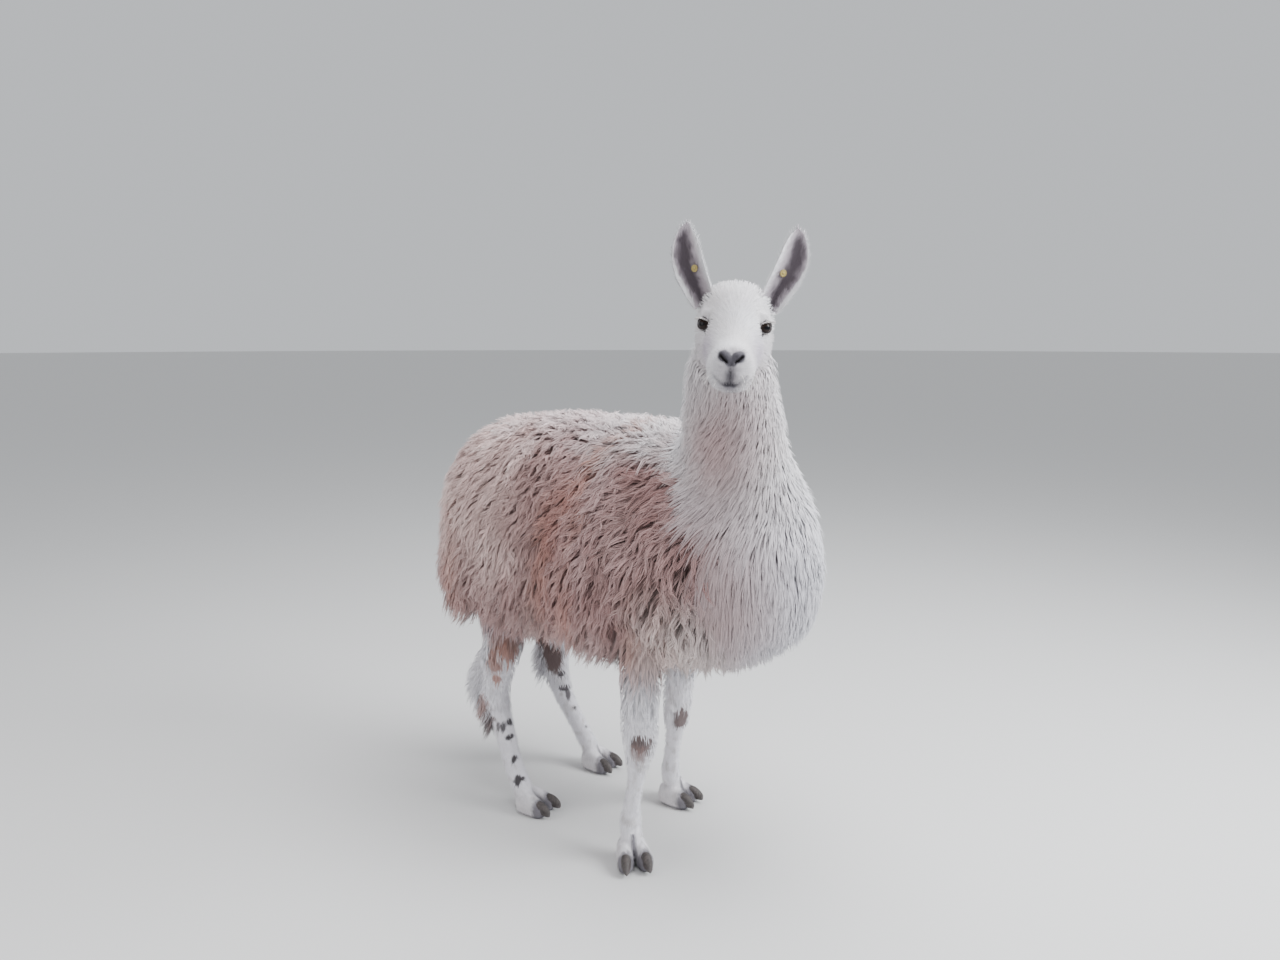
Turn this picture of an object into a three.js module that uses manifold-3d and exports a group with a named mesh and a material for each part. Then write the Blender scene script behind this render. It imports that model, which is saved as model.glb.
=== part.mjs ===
// A llama in long fleece, standing still with its head turned to its right.
// All sizes are millimetres.  In the body frame x runs from tail to chest, y to the animal's
// left and z up; the floor is z = 0 and the origin lies midway between the front feet until
// the finished group is moved to the middle of its own footprint.
import * as THREE from 'three';
import { mergeVertices } from 'three/addons/utils/BufferGeometryUtils.js';
import Module from 'manifold-3d';

const wasm = await Module();
wasm.setup();

// ---------------------------------------------------------------- driving dimensions
const GAP = 0.35; // clearance left where one piece is cut by its neighbour
const EYE_POINT = { x: 423, y: -215, z: 1440 }; // midway between the eyes
const HEAD_TURN = -52.5; // degrees, heading of the head about z
const HEAD_PITCH = -2; // degrees, nose below level
const HEAD_ROLL = 3.5; // degrees, left eye lower than the right
const EYE_RADIUS = 19;
const EYE_SPREAD = 61; // eyeball centre to the middle of the head
const EYE_SETBACK = 5; // eyeball centre behind the eye point
const LID_TURN = 38; // degrees, lids facing forwards of straight sideways
const EAR_THICKNESS = 11;
const TAG_RADIUS = 8;
const TAG_STUD_RADIUS = 2.2;
const TAG_THICKNESS = 3;
const TOE_OFFSET = 23; // toe centre line to the middle of the foot
const TOE_SPLAY = 7; // degrees, each toe outwards

const COLOURS = {
  fleece: 0xbba79c,
  bib: 0xded7d0,
  face: 0xe6e2dc,
  leg: 0xddd5cf,
  ear: 0xcfc6c2,
  horn: 0x3b3438,
  eye: 0x1d1715,
  tag: 0xe0c22c,
};

// ---------------------------------------------------------------- small helpers
const radians = THREE.MathUtils.degToRad;

function clamp(value, low, high) {
  return Math.min(Math.max(value, low), high);
}

// Smooth curve through one named size of a list of stations, t running from 0 to 1.
function smooth(stations, key, t) {
  const last = stations.length - 1;
  const place = clamp(t, 0, 1) * last;
  const i = Math.min(Math.floor(place), last - 1);
  const u = place - i;
  const value = (k) => stations[clamp(k, 0, last)][key];
  const [a, b, c, d] = [value(i - 1), value(i), value(i + 1), value(i + 2)];
  return b + 0.5 * u * (c - a + u * (2 * a - 5 * b + 4 * c - d + u * (3 * (b - c) + d - a)));
}

function pathPoint(stations, t) {
  return new THREE.Vector3(
    smooth(stations, 'x', t),
    smooth(stations, 'y', t),
    smooth(stations, 'z', t),
  );
}

// Values of t lying at chosen distances along the path of the stations.
function pathLengths(stations) {
  const fine = 200;
  const lengths = [0];
  let before = pathPoint(stations, 0);
  for (let i = 1; i <= fine; i += 1) {
    const point = pathPoint(stations, i / fine);
    lengths.push(lengths[i - 1] + point.distanceTo(before));
    before = point;
  }
  const total = lengths[fine];
  const placeAt = (distance) => {
    let i = 1;
    while (i < fine && lengths[i] < distance) i += 1;
    return (i - 1 + (distance - lengths[i - 1]) / (lengths[i] - lengths[i - 1])) / fine;
  };
  return { total, placeAt };
}

// Closed surface from rings of points.  An end is finished with one point, or, where none is
// given, with a strip of faces that joins the two halves of its ring.
function closeRings(rings, first = null, last = null) {
  const count = rings[0].length;
  const points = rings.flat();
  const faces = [];
  for (let r = 0; r < rings.length - 1; r += 1) {
    for (let i = 0; i < count; i += 1) {
      const a = r * count + i;
      const b = r * count + ((i + 1) % count);
      faces.push(a, b, b + count, a, b + count, a + count);
    }
  }
  const capEnd = (base, tip, outward) => {
    const add = (a, b, c) => faces.push(a, outward ? b : c, outward ? c : b);
    if (tip) {
      points.push(tip);
      for (let i = 0; i < count; i += 1) {
        add(points.length - 1, base + i, base + ((i + 1) % count));
      }
    } else {
      for (let i = 0; i < count / 2 - 1; i += 1) {
        add(base + i, base + i + 1, base + count - 2 - i);
        add(base + i, base + count - 2 - i, base + count - 1 - i);
      }
    }
  };
  capEnd(0, first, false);
  capEnd((rings.length - 1) * count, last, true);
  let volume = 0;
  for (let f = 0; f < faces.length; f += 3) {
    const [p, q, s] = [points[faces[f]], points[faces[f + 1]], points[faces[f + 2]]];
    volume += p.dot(new THREE.Vector3().crossVectors(q, s));
  }
  if (volume < 0) faces.reverse();
  const geometry = new THREE.BufferGeometry();
  geometry.setAttribute('position', new THREE.Float32BufferAttribute(
    points.flatMap((p) => [p.x, p.y, p.z]), 3));
  geometry.setIndex(faces);
  return geometry;
}

// Rounded body along a path.  Each station gives the path (x, y, z) and the reach of the ring
// to both sides (half), above (rise) and below (drop); square makes a ring boxier, follow says
// how far the ring turns with the path instead of lying across `level`.
function pathBody(shape, grow = 0) {
  const { stations, count, rings } = shape;
  const { startCap = 0, endCap = 0, capRings = 4, lobes = null } = shape;
  const { total, placeAt } = pathLengths(stations);
  const distances = [];
  for (let i = 1; i < capRings && startCap > 0; i += 1) {
    distances.push(startCap * (1 - Math.cos((i / capRings) * Math.PI / 2)));
  }
  for (let i = 0; i <= rings; i += 1) {
    distances.push(startCap + ((total - startCap - endCap) * i) / rings);
  }
  for (let i = capRings - 1; i > 0 && endCap > 0; i -= 1) {
    distances.push(total - endCap * (1 - Math.cos((i / capRings) * Math.PI / 2)));
  }
  const ringPoints = distances.map((distance) => {
    const t = placeAt(distance);
    const frame = ringFrame(shape, t);
    const fromStart = startCap > 0 ? clamp(1 - distance / startCap, 0, 1) : 0;
    const fromEnd = endCap > 0 ? clamp(1 - (total - distance) / endCap, 0, 1) : 0;
    const fade = Math.sqrt(1 - Math.max(fromStart, fromEnd) ** 2);
    return ringAt(shape, t, frame, fade, grow, lobes);
  });
  const first = pathPoint(stations, 0).addScaledVector(ringFrame(shape, 0).along, -grow);
  const last = pathPoint(stations, 1).addScaledVector(ringFrame(shape, 1).along, grow);
  return closeRings(ringPoints, first, last);
}

// Directions of the ring at t: along the path, to the side and upwards in the ring.
function ringFrame(shape, t) {
  const { stations, side, level = null } = shape;
  const step = 0.004;
  const along = pathPoint(stations, Math.min(t + step, 1))
    .sub(pathPoint(stations, Math.max(t - step, 0)))
    .normalize();
  if (level) {
    const follow = smooth(stations, 'follow', t);
    along.lerp(level, 1 - follow).normalize();
  }
  const turn = 'turn' in stations[0] ? radians(smooth(stations, 'turn', t)) : 0;
  const across = side.clone().applyAxisAngle(new THREE.Vector3(0, 0, 1), turn);
  across.addScaledVector(along, -across.dot(along)).normalize();
  const upward = new THREE.Vector3().crossVectors(along, across);
  return { along, across, upward };
}

function ringAt(shape, t, frame, fade, grow, lobes) {
  const { stations, count, squareTop = 2, squareBottom = 2 } = shape;
  const centre = pathPoint(stations, t);
  const half = smooth(stations, 'half', t) * fade + grow;
  const rise = smooth(stations, 'rise', t) * fade + grow;
  const drop = smooth(stations, 'drop', t) * fade + grow;
  const points = [];
  for (let i = 0; i < count; i += 1) {
    const angle = (i / count) * 2 * Math.PI;
    const power = 2 / (Math.sin(angle) > 0 ? squareTop : squareBottom);
    const u = Math.sign(Math.cos(angle)) * Math.abs(Math.cos(angle)) ** power;
    const v = Math.sign(Math.sin(angle)) * Math.abs(Math.sin(angle)) ** power;
    const swell = lobes ? lobes(t, angle) * fade : 0;
    points.push(centre.clone()
      .addScaledVector(frame.across, u * (half + swell))
      .addScaledVector(frame.upward, v * ((v > 0 ? rise : drop) + swell)));
  }
  return points;
}

// Solid for cutting and joining, made from a closed three.js geometry.
function toSolid(geometry, matrix = null) {
  const bare = geometry.clone();
  bare.deleteAttribute('normal');
  bare.deleteAttribute('uv');
  if (matrix) bare.applyMatrix4(matrix);
  const merged = mergeVertices(bare, 1e-4);
  return new wasm.Manifold(new wasm.Mesh({
    numProp: 3,
    vertProperties: new Float32Array(merged.attributes.position.array),
    triVerts: new Uint32Array(merged.index.array),
  }));
}

function toGeometry(solid) {
  const mesh = solid.getMesh();
  const geometry = new THREE.BufferGeometry();
  geometry.setAttribute('position', new THREE.BufferAttribute(
    new Float32Array(mesh.vertProperties), 3));
  geometry.setIndex(new THREE.BufferAttribute(new Uint32Array(mesh.triVerts), 1));
  return geometry;
}

function join(...solids) {
  return solids.reduce((whole, piece) => whole.add(piece));
}

// The two sides of a solid parted by a plane, with half the gap taken from each.
function part(solid, point, normal) {
  const size = 6000;
  const turn = new THREE.Quaternion().setFromUnitVectors(
    new THREE.Vector3(0, 0, 1), normal.clone().normalize());
  const sideOf = (sign) => {
    const box = new THREE.BoxGeometry(size, size, size);
    box.translate(0, 0, sign * (size / 2 + GAP / 2));
    const matrix = new THREE.Matrix4().compose(point, turn, new THREE.Vector3(1, 1, 1));
    return solid.intersect(toSolid(box, matrix));
  };
  return { ahead: sideOf(1), behind: sideOf(-1) };
}

function belowFloor() {
  const box = new THREE.BoxGeometry(4000, 4000, 400);
  box.translate(0, 0, -200);
  return toSolid(box);
}

const ACROSS_LEFT = new THREE.Vector3(0, 1, 0);
const ACROSS_RIGHT = new THREE.Vector3(0, -1, 0);

// ---------------------------------------------------------------- trunk and tail
// The fleece hangs in broad lobes that are deepest along its hem.
function fleeceLobes(t, angle) {
  const low = Math.max(0, -Math.sin(angle));
  const wave = Math.sin(t * 46 + 3 * Math.cos(angle)) + 0.6 * Math.sin(t * 31 + 5 * angle);
  return wave * (2.5 + 5 * low);
}

const TRUNK = {
  side: ACROSS_LEFT,
  count: 22,
  rings: 14,
  capRings: 4,
  startCap: 240,
  endCap: 80,
  squareTop: 2.15,
  squareBottom: 4.2,
  lobes: fleeceLobes,
  stations: [
    { x: -838, y: 0, z: 820, half: 226, rise: 286, drop: 264 },
    { x: -710, y: 0, z: 820, half: 252, rise: 332, drop: 288 },
    { x: -560, y: 0, z: 820, half: 266, rise: 350, drop: 286 },
    { x: -400, y: -2, z: 820, half: 272, rise: 374, drop: 268 },
    { x: -240, y: -4, z: 820, half: 272, rise: 381, drop: 238 },
    { x: -80, y: -6, z: 820, half: 266, rise: 374, drop: 228 },
    { x: 80, y: -10, z: 820, half: 254, rise: 361, drop: 250 },
    { x: 200, y: -14, z: 820, half: 226, rise: 320, drop: 236 },
    { x: 300, y: -18, z: 820, half: 170, rise: 220, drop: 200 },
  ],
};

const TAIL = {
  side: ACROSS_LEFT,
  count: 10,
  rings: 5,
  capRings: 3,
  startCap: 0,
  endCap: 34,
  stations: [
    { x: -760, y: 0, z: 1050, half: 36, rise: 30, drop: 30 },
    { x: -818, y: 0, z: 1002, half: 50, rise: 36, drop: 40 },
    { x: -850, y: 0, z: 920, half: 60, rise: 36, drop: 50 },
    { x: -860, y: 0, z: 830, half: 58, rise: 34, drop: 48 },
    { x: -856, y: 0, z: 735, half: 36, rise: 22, drop: 30 },
  ],
};

// ---------------------------------------------------------------- chest and neck
const FRONT = {
  side: ACROSS_RIGHT,
  level: new THREE.Vector3(0, 0, 1),
  count: 22,
  rings: 15,
  capRings: 4,
  startCap: 80,
  endCap: 50,
  squareTop: 2.1,
  squareBottom: 2.1,
  stations: [
    { x: 152, y: -18, z: 548, rise: 248, drop: 230, half: 214, turn: 0, follow: 0 },
    { x: 158, y: -16, z: 650, rise: 280, drop: 250, half: 228, turn: 0, follow: 0 },
    { x: 162, y: -14, z: 745, rise: 306, drop: 260, half: 236, turn: 0, follow: 0 },
    { x: 166, y: -12, z: 840, rise: 314, drop: 256, half: 240, turn: 0, follow: 0.05 },
    { x: 196, y: -12, z: 930, rise: 280, drop: 244, half: 224, turn: 0, follow: 0.2 },
    { x: 234, y: -16, z: 1000, rise: 232, drop: 212, half: 196, turn: -4, follow: 0.35 },
    { x: 274, y: -32, z: 1065, rise: 178, drop: 172, half: 152, turn: -15, follow: 0.6 },
    { x: 307, y: -63, z: 1140, rise: 143, drop: 142, half: 125, turn: -30, follow: 0.9 },
    { x: 331, y: -99, z: 1215, rise: 129, drop: 130, half: 116, turn: -41, follow: 1 },
    { x: 348, y: -128, z: 1290, rise: 113, drop: 114, half: 103, turn: -48, follow: 1 },
    { x: 357, y: -141, z: 1360, rise: 98, drop: 100, half: 91, turn: -52, follow: 1 },
    { x: 358, y: -140, z: 1435, rise: 70, drop: 78, half: 66, turn: -52, follow: 1 },
  ],
};

// ---------------------------------------------------------------- head
// Head frame: x ahead along the muzzle, y to the animal's left, z up, origin between the eyes.
const HEAD_MATRIX = new THREE.Matrix4().makeTranslation(EYE_POINT.x, EYE_POINT.y, EYE_POINT.z)
  .multiply(new THREE.Matrix4().makeRotationZ(radians(HEAD_TURN)))
  .multiply(new THREE.Matrix4().makeRotationY(radians(-HEAD_PITCH)))
  .multiply(new THREE.Matrix4().makeRotationX(radians(-HEAD_ROLL)));

const HEAD = {
  side: ACROSS_LEFT,
  level: new THREE.Vector3(1, 0, 0),
  count: 22,
  rings: 13,
  capRings: 3,
  startCap: 40,
  endCap: 26,
  squareTop: 2.25,
  squareBottom: 2.4,
  stations: [
    { x: -122, y: 0, z: 2, half: 70, rise: 66, drop: 66, follow: 0 },
    { x: -90, y: 0, z: 0, half: 84, rise: 84, drop: 92, follow: 0 },
    { x: -50, y: 0, z: 0, half: 91, rise: 94, drop: 106, follow: 0 },
    { x: -15, y: 0, z: -4, half: 87, rise: 97, drop: 108, follow: 0 },
    { x: 20, y: 0, z: -20, half: 71, rise: 94, drop: 97, follow: 0 },
    { x: 55, y: 0, z: -44, half: 60, rise: 83, drop: 77, follow: 0 },
    { x: 90, y: 0, z: -64, half: 54, rise: 68, drop: 61, follow: 0 },
    { x: 125, y: 0, z: -78, half: 50, rise: 56, drop: 53, follow: 0 },
    { x: 158, y: 0, z: -84, half: 50, rise: 49, drop: 50, follow: 0 },
    { x: 190, y: 0, z: -84, half: 44, rise: 44, drop: 44, follow: 0 },
  ],
};

const NOSTRIL = { x: 186, y: 17, z: -66 };
const MOUTH = { x: 184, z: -116, corner: 41, depth: 8 };

// Places on one ear in the head frame; sign is +1 on the left and -1 on the right.
function earStations(sign) {
  return [
    { x: -48, y: sign * 66, z: 44, width: 50, curl: 96, thick: 1 },
    { x: -50, y: sign * 84, z: 78, width: 60, curl: 82, thick: 1 },
    { x: -53, y: sign * 101, z: 110, width: 68, curl: 66, thick: 0.9 },
    { x: -57, y: sign * 114, z: 145, width: 65, curl: 56, thick: 0.8 },
    { x: -60, y: sign * 120, z: 178, width: 49, curl: 50, thick: 0.7 },
    { x: -62, y: sign * 122, z: 203, width: 27, curl: 44, thick: 0.6 },
    { x: -62, y: sign * 122, z: 218, width: 8, curl: 40, thick: 0.4 },
  ];
}

// Cupped leaf: every ring is a crescent with its hollow side towards the face direction.
function earBody(sign) {
  const stations = earStations(sign);
  const rings = 9;
  const arc = 6;
  const ringPoints = [];
  for (let r = 0; r <= rings; r += 1) {
    const t = r / rings;
    const { face, side } = earFrame(sign, t);
    const axis = pathPoint(stations, t);
    const curl = radians(smooth(stations, 'curl', t));
    const outer = smooth(stations, 'width', t) / 2 / Math.sin(Math.min(curl, Math.PI / 2));
    const thick = EAR_THICKNESS * smooth(stations, 'thick', t);
    const hollow = axis.clone().addScaledVector(face, outer);
    const points = [];
    for (let i = 0; i <= arc; i += 1) {
      const angle = curl * (1 - (2 * i) / arc);
      points.push(arcPoint(hollow, side, face, outer, angle));
    }
    for (let i = 0; i <= arc; i += 1) {
      const share = (2 * i) / arc - 1;
      const inner = Math.max(outer - thick * (1 - 0.45 * share * share), outer * 0.2);
      points.push(arcPoint(hollow, side, face, inner, curl * share * 0.97));
    }
    ringPoints.push(points);
  }
  return closeRings(ringPoints);
}

function arcPoint(hollow, side, face, radius, angle) {
  return hollow.clone()
    .addScaledVector(side, radius * Math.sin(angle))
    .addScaledVector(face, -radius * Math.cos(angle));
}

function earFrame(sign, t) {
  const stations = earStations(sign);
  const along = pathPoint(stations, Math.min(t + 0.02, 1))
    .sub(pathPoint(stations, Math.max(t - 0.02, 0)))
    .normalize();
  const outward = radians(sign * 12);
  const face = new THREE.Vector3(Math.cos(outward), Math.sin(outward), 0);
  face.addScaledVector(along, -face.dot(along)).normalize();
  const side = new THREE.Vector3().crossVectors(face, along);
  return { along, face, side };
}

// Round ear tag: a flat button on both sides of the ear, joined by a stud through it.
function tagBody(grow = 0) {
  const reach = EAR_THICKNESS / 2 + 0.8;
  const profile = [
    [0, -reach - TAG_THICKNESS - grow],
    [TAG_RADIUS + grow, -reach - TAG_THICKNESS - grow],
    [TAG_RADIUS + grow, -reach + grow],
    [TAG_STUD_RADIUS + grow, -reach + grow],
    [TAG_STUD_RADIUS + grow, reach - grow],
    [TAG_RADIUS + grow, reach - grow],
    [TAG_RADIUS + grow, reach + TAG_THICKNESS + grow],
    [0, reach + TAG_THICKNESS + grow],
  ];
  return new THREE.LatheGeometry(profile.map(([r, h]) => new THREE.Vector2(r, h)), 10);
}

// The tag sits a third of the way up the ear, towards the middle of the head.
function tagMatrix(sign) {
  const stations = earStations(sign);
  const t = 0.36;
  const { face, side } = earFrame(sign, t);
  const curl = radians(smooth(stations, 'curl', t));
  const outer = smooth(stations, 'width', t) / 2 / Math.sin(curl);
  const thick = EAR_THICKNESS * smooth(stations, 'thick', t);
  const hollow = pathPoint(stations, t).addScaledVector(face, outer);
  const angle = curl * 0.3 * (side.y * sign > 0 ? -1 : 1);
  const place = arcPoint(hollow, side, face, outer - thick / 2, angle);
  const inward = hollow.clone().sub(place).normalize();
  const turn = new THREE.Quaternion().setFromUnitVectors(new THREE.Vector3(0, 1, 0), inward);
  return new THREE.Matrix4().compose(place, turn, new THREE.Vector3(1, 1, 1));
}

function eyeMatrix(sign) {
  return new THREE.Matrix4().makeTranslation(-EYE_SETBACK, sign * EYE_SPREAD, 0);
}

// Almond opening between the lids, reaching from the eyeball out through the face.
function lidOpening(sign) {
  const opening = new THREE.SphereGeometry(1, 10, 6);
  opening.scale(15, 26, 13);
  opening.translate(0, sign * EYE_RADIUS, 0);
  opening.rotateZ(radians(sign * -LID_TURN));
  opening.translate(-EYE_SETBACK, sign * EYE_SPREAD, 0);
  return opening;
}

function nostrilCut(sign) {
  const slit = new THREE.SphereGeometry(1, 7, 5);
  slit.scale(9, 2.8, 7);
  slit.rotateX(radians(sign * 38));
  slit.rotateZ(radians(sign * 30));
  slit.translate(NOSTRIL.x, sign * NOSTRIL.y, NOSTRIL.z);
  return slit;
}

// Groove between the lips, from one corner round the front of the muzzle to the other.
function mouthCut() {
  const bow = [-1, -0.6, 0, 0.6, 1].map((share) => ({
    x: MOUTH.x - 30 * share * share,
    y: MOUTH.corner * share * 1.12,
    z: MOUTH.z + 9 * share * share,
    half: 1.6,
    rise: MOUTH.depth,
    drop: MOUTH.depth,
  }));
  return pathBody({ side: new THREE.Vector3(0, 0, 1), count: 6, rings: 7, stations: bow });
}

// ---------------------------------------------------------------- legs
// Stations run down each leg: rise is the reach forwards, drop the reach backwards.
const LEGS = {
  fore_right: [
    { x: 122, y: -182, z: 690, rise: 70, drop: 70, half: 58 },
    { x: 110, y: -182, z: 570, rise: 62, drop: 62, half: 54 },
    { x: 104, y: -179, z: 470, rise: 52, drop: 58, half: 48 },
    { x: 98, y: -172, z: 392, rise: 50, drop: 60, half: 48 },
    { x: 90, y: -166, z: 342, rise: 46, drop: 48, half: 42 },
    { x: 76, y: -160, z: 292, rise: 34, drop: 36, half: 33 },
    { x: 62, y: -154, z: 235, rise: 26, drop: 27, half: 23 },
    { x: 46, y: -149, z: 165, rise: 27, drop: 28, half: 24 },
    { x: 38, y: -148, z: 112, rise: 33, drop: 34, half: 31 },
    { x: 46, y: -153, z: 72, rise: 31, drop: 32, half: 32 },
    { x: 54, y: -158, z: 36, rise: 26, drop: 28, half: 30 },
  ],
  fore_left: [
    { x: 4, y: 120, z: 690, rise: 70, drop: 70, half: 58 },
    { x: -6, y: 119, z: 560, rise: 60, drop: 60, half: 52 },
    { x: -16, y: 117, z: 450, rise: 48, drop: 54, half: 45 },
    { x: -22, y: 115, z: 365, rise: 44, drop: 50, half: 42 },
    { x: -28, y: 115, z: 310, rise: 40, drop: 42, half: 37 },
    { x: -44, y: 125, z: 262, rise: 30, drop: 32, half: 29 },
    { x: -60, y: 136, z: 215, rise: 27, drop: 28, half: 25 },
    { x: -78, y: 150, z: 155, rise: 27, drop: 28, half: 25 },
    { x: -92, y: 162, z: 105, rise: 31, drop: 32, half: 30 },
    { x: -92, y: 172, z: 70, rise: 30, drop: 31, half: 31 },
    { x: -88, y: 180, z: 36, rise: 26, drop: 28, half: 30 },
  ],
  hind_right: [
    { x: -520, y: -150, z: 740, rise: 128, drop: 120, half: 78 },
    { x: -480, y: -160, z: 620, rise: 98, drop: 100, half: 72 },
    { x: -470, y: -167, z: 545, rise: 76, drop: 82, half: 62 },
    { x: -486, y: -169, z: 468, rise: 62, drop: 68, half: 54 },
    { x: -518, y: -167, z: 400, rise: 62, drop: 90, half: 50 },
    { x: -524, y: -166, z: 348, rise: 56, drop: 92, half: 45 },
    { x: -502, y: -168, z: 288, rise: 42, drop: 60, half: 36 },
    { x: -472, y: -171, z: 222, rise: 38, drop: 42, half: 31 },
    { x: -444, y: -174, z: 160, rise: 36, drop: 38, half: 29 },
    { x: -414, y: -177, z: 112, rise: 35, drop: 37, half: 30 },
    { x: -392, y: -174, z: 74, rise: 33, drop: 35, half: 31 },
    { x: -378, y: -164, z: 36, rise: 28, drop: 30, half: 30 },
  ],
  hind_left: [
    { x: -560, y: 112, z: 740, rise: 128, drop: 120, half: 78 },
    { x: -560, y: 106, z: 620, rise: 100, drop: 106, half: 72 },
    { x: -556, y: 100, z: 520, rise: 80, drop: 86, half: 62 },
    { x: -548, y: 95, z: 432, rise: 64, drop: 72, half: 53 },
    { x: -536, y: 91, z: 368, rise: 50, drop: 68, half: 44 },
    { x: -524, y: 91, z: 324, rise: 44, drop: 62, half: 38 },
    { x: -513, y: 104, z: 262, rise: 38, drop: 44, half: 32 },
    { x: -500, y: 124, z: 204, rise: 35, drop: 37, half: 29 },
    { x: -486, y: 148, z: 144, rise: 34, drop: 35, half: 28 },
    { x: -472, y: 165, z: 98, rise: 34, drop: 36, half: 29 },
    { x: -458, y: 174, z: 66, rise: 32, drop: 34, half: 30 },
    { x: -444, y: 178, z: 34, rise: 28, drop: 30, half: 30 },
  ],
};

// Middle of each sole and the way its toes point, in degrees from straight ahead.
const FEET = {
  fore_right: { x: 62, y: -164, turn: -34 },
  fore_left: { x: -84, y: 182, turn: 14 },
  hind_right: { x: -360, y: -156, turn: 18 },
  hind_left: { x: -430, y: 182, turn: 12 },
};

const TOE = {
  side: ACROSS_LEFT,
  count: 8,
  rings: 3,
  capRings: 2,
  startCap: 14,
  endCap: 12,
  squareTop: 2,
  squareBottom: 2.6,
  stations: [
    { x: -52, y: 0, z: 24, half: 18, rise: 28, drop: 32 },
    { x: -22, y: 0, z: 28, half: 22, rise: 44, drop: 36 },
    { x: 10, y: 0, z: 27, half: 23, rise: 36, drop: 35 },
    { x: 36, y: 0, z: 23, half: 22, rise: 24, drop: 31 },
    { x: 58, y: 0, z: 18, half: 14, rise: 13, drop: 24 },
  ],
};

const NAIL = {
  side: ACROSS_LEFT,
  count: 6,
  rings: 3,
  capRings: 2,
  startCap: 8,
  endCap: 9,
  squareTop: 2,
  squareBottom: 2.6,
  stations: [
    { x: 24, y: 0, z: 38, half: 13, rise: 14, drop: 12 },
    { x: 44, y: 0, z: 32, half: 14, rise: 16, drop: 18 },
    { x: 62, y: 0, z: 22, half: 10, rise: 13, drop: 15 },
    { x: 74, y: 0, z: 11, half: 4, rise: 5, drop: 6 },
  ],
};

function toeMatrix(foot, sign) {
  return new THREE.Matrix4().makeTranslation(foot.x, foot.y, 0)
    .multiply(new THREE.Matrix4().makeRotationZ(radians(foot.turn)))
    .multiply(new THREE.Matrix4().makeTranslation(0, sign * TOE_OFFSET, 0))
    .multiply(new THREE.Matrix4().makeRotationZ(radians(sign * TOE_SPLAY)));
}

function legShape(stations) {
  return { side: ACROSS_LEFT, count: 10, rings: 10, stations };
}

// ---------------------------------------------------------------- building the pieces
const group = new THREE.Group();
group.name = 'llama';

function addPiece(name, solid, colour, roughness = 0.95) {
  const material = new THREE.MeshStandardMaterial({ color: colour, roughness, metalness: 0 });
  material.name = `${name}_finish`;
  const mesh = new THREE.Mesh(toGeometry(solid), material);
  mesh.name = name;
  group.add(mesh);
}

const flesh = (grow) => join(
  toSolid(pathBody(TRUNK, grow)),
  toSolid(pathBody(FRONT, grow)),
  toSolid(pathBody(HEAD, grow), HEAD_MATRIX),
);

// Trunk, chest, neck and head are one body parted along three planes.
function buildBody() {
  const throat = new THREE.Vector3(-46, 0, -64).applyMatrix4(HEAD_MATRIX);
  const throatWay = new THREE.Vector3(0.62, 0, 0.78).transformDirection(HEAD_MATRIX);
  const headCut = part(flesh(0), throat, throatWay);
  const neckCut = part(
    headCut.behind, new THREE.Vector3(120, 0, 1175), new THREE.Vector3(0.45, -0.1, 0.89));
  const chestCut = part(
    neckCut.behind, new THREE.Vector3(250, 0, 900), new THREE.Vector3(1, 0, 0.24));
  addPiece('trunk', chestCut.behind, COLOURS.fleece);
  addPiece('chest', chestCut.ahead, COLOURS.bib);
  addPiece('neck', neckCut.ahead, COLOURS.bib);
  return headCut.ahead;
}

// Head pieces are shaped in the head frame and then set on the neck.
function buildHead(headSolid) {
  let face = headSolid;
  for (const [side, sign] of [['right', -1], ['left', 1]]) {
    const place = HEAD_MATRIX.clone().multiply(eyeMatrix(sign));
    const socket = new THREE.SphereGeometry(EYE_RADIUS + GAP, 12, 8);
    face = face.subtract(toSolid(socket, place));
    face = face.subtract(toSolid(lidOpening(sign), HEAD_MATRIX));
    face = face.subtract(toSolid(nostrilCut(sign), HEAD_MATRIX));
    const eyeball = new THREE.SphereGeometry(EYE_RADIUS - GAP, 12, 8);
    addPiece(`eye_${side}`, toSolid(eyeball, place), COLOURS.eye, 0.15);
    buildEar(side, sign);
  }
  face = face.subtract(toSolid(mouthCut(), HEAD_MATRIX));
  addPiece('head', face, COLOURS.face);
}

function buildEar(side, sign) {
  const skull = toSolid(pathBody(HEAD, GAP), HEAD_MATRIX);
  const tagPlace = HEAD_MATRIX.clone().multiply(tagMatrix(sign));
  const ear = toSolid(earBody(sign), HEAD_MATRIX)
    .subtract(skull)
    .subtract(toSolid(tagBody(GAP), tagPlace));
  addPiece(`ear_${side}`, ear, COLOURS.ear);
  addPiece(`ear_tag_${side}`, toSolid(tagBody(), tagPlace), COLOURS.tag, 0.5);
}

function buildLeg(name, fleece) {
  const foot = FEET[name];
  const floor = belowFloor();
  let leg = toSolid(pathBody(legShape(LEGS[name])));
  for (const [toe, sign] of [['right', -1], ['left', 1]]) {
    const place = toeMatrix(foot, sign);
    const nail = toSolid(pathBody(NAIL), place);
    leg = leg.add(toSolid(pathBody(TOE), place));
    addPiece(`nail_${name}_${toe}`, nail, COLOURS.horn, 0.6);
  }
  for (const sign of [-1, 1]) {
    leg = leg.subtract(toSolid(pathBody(NAIL, GAP), toeMatrix(foot, sign)));
  }
  leg = leg.subtract(fleece).subtract(floor);
  addPiece(`leg_${name}`, leg, COLOURS.leg);
}

const fleece = flesh(GAP);
buildHead(buildBody());
addPiece('tail', toSolid(pathBody(TAIL)).subtract(fleece), COLOURS.fleece);
for (const name of Object.keys(LEGS)) buildLeg(name, fleece);

// The origin goes to the middle of the footprint, on the floor.
const bounds = new THREE.Box3().setFromObject(group);
const middle = bounds.getCenter(new THREE.Vector3());
for (const mesh of group.children) {
  mesh.geometry.translate(-middle.x, -middle.y, 0);
}

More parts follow.
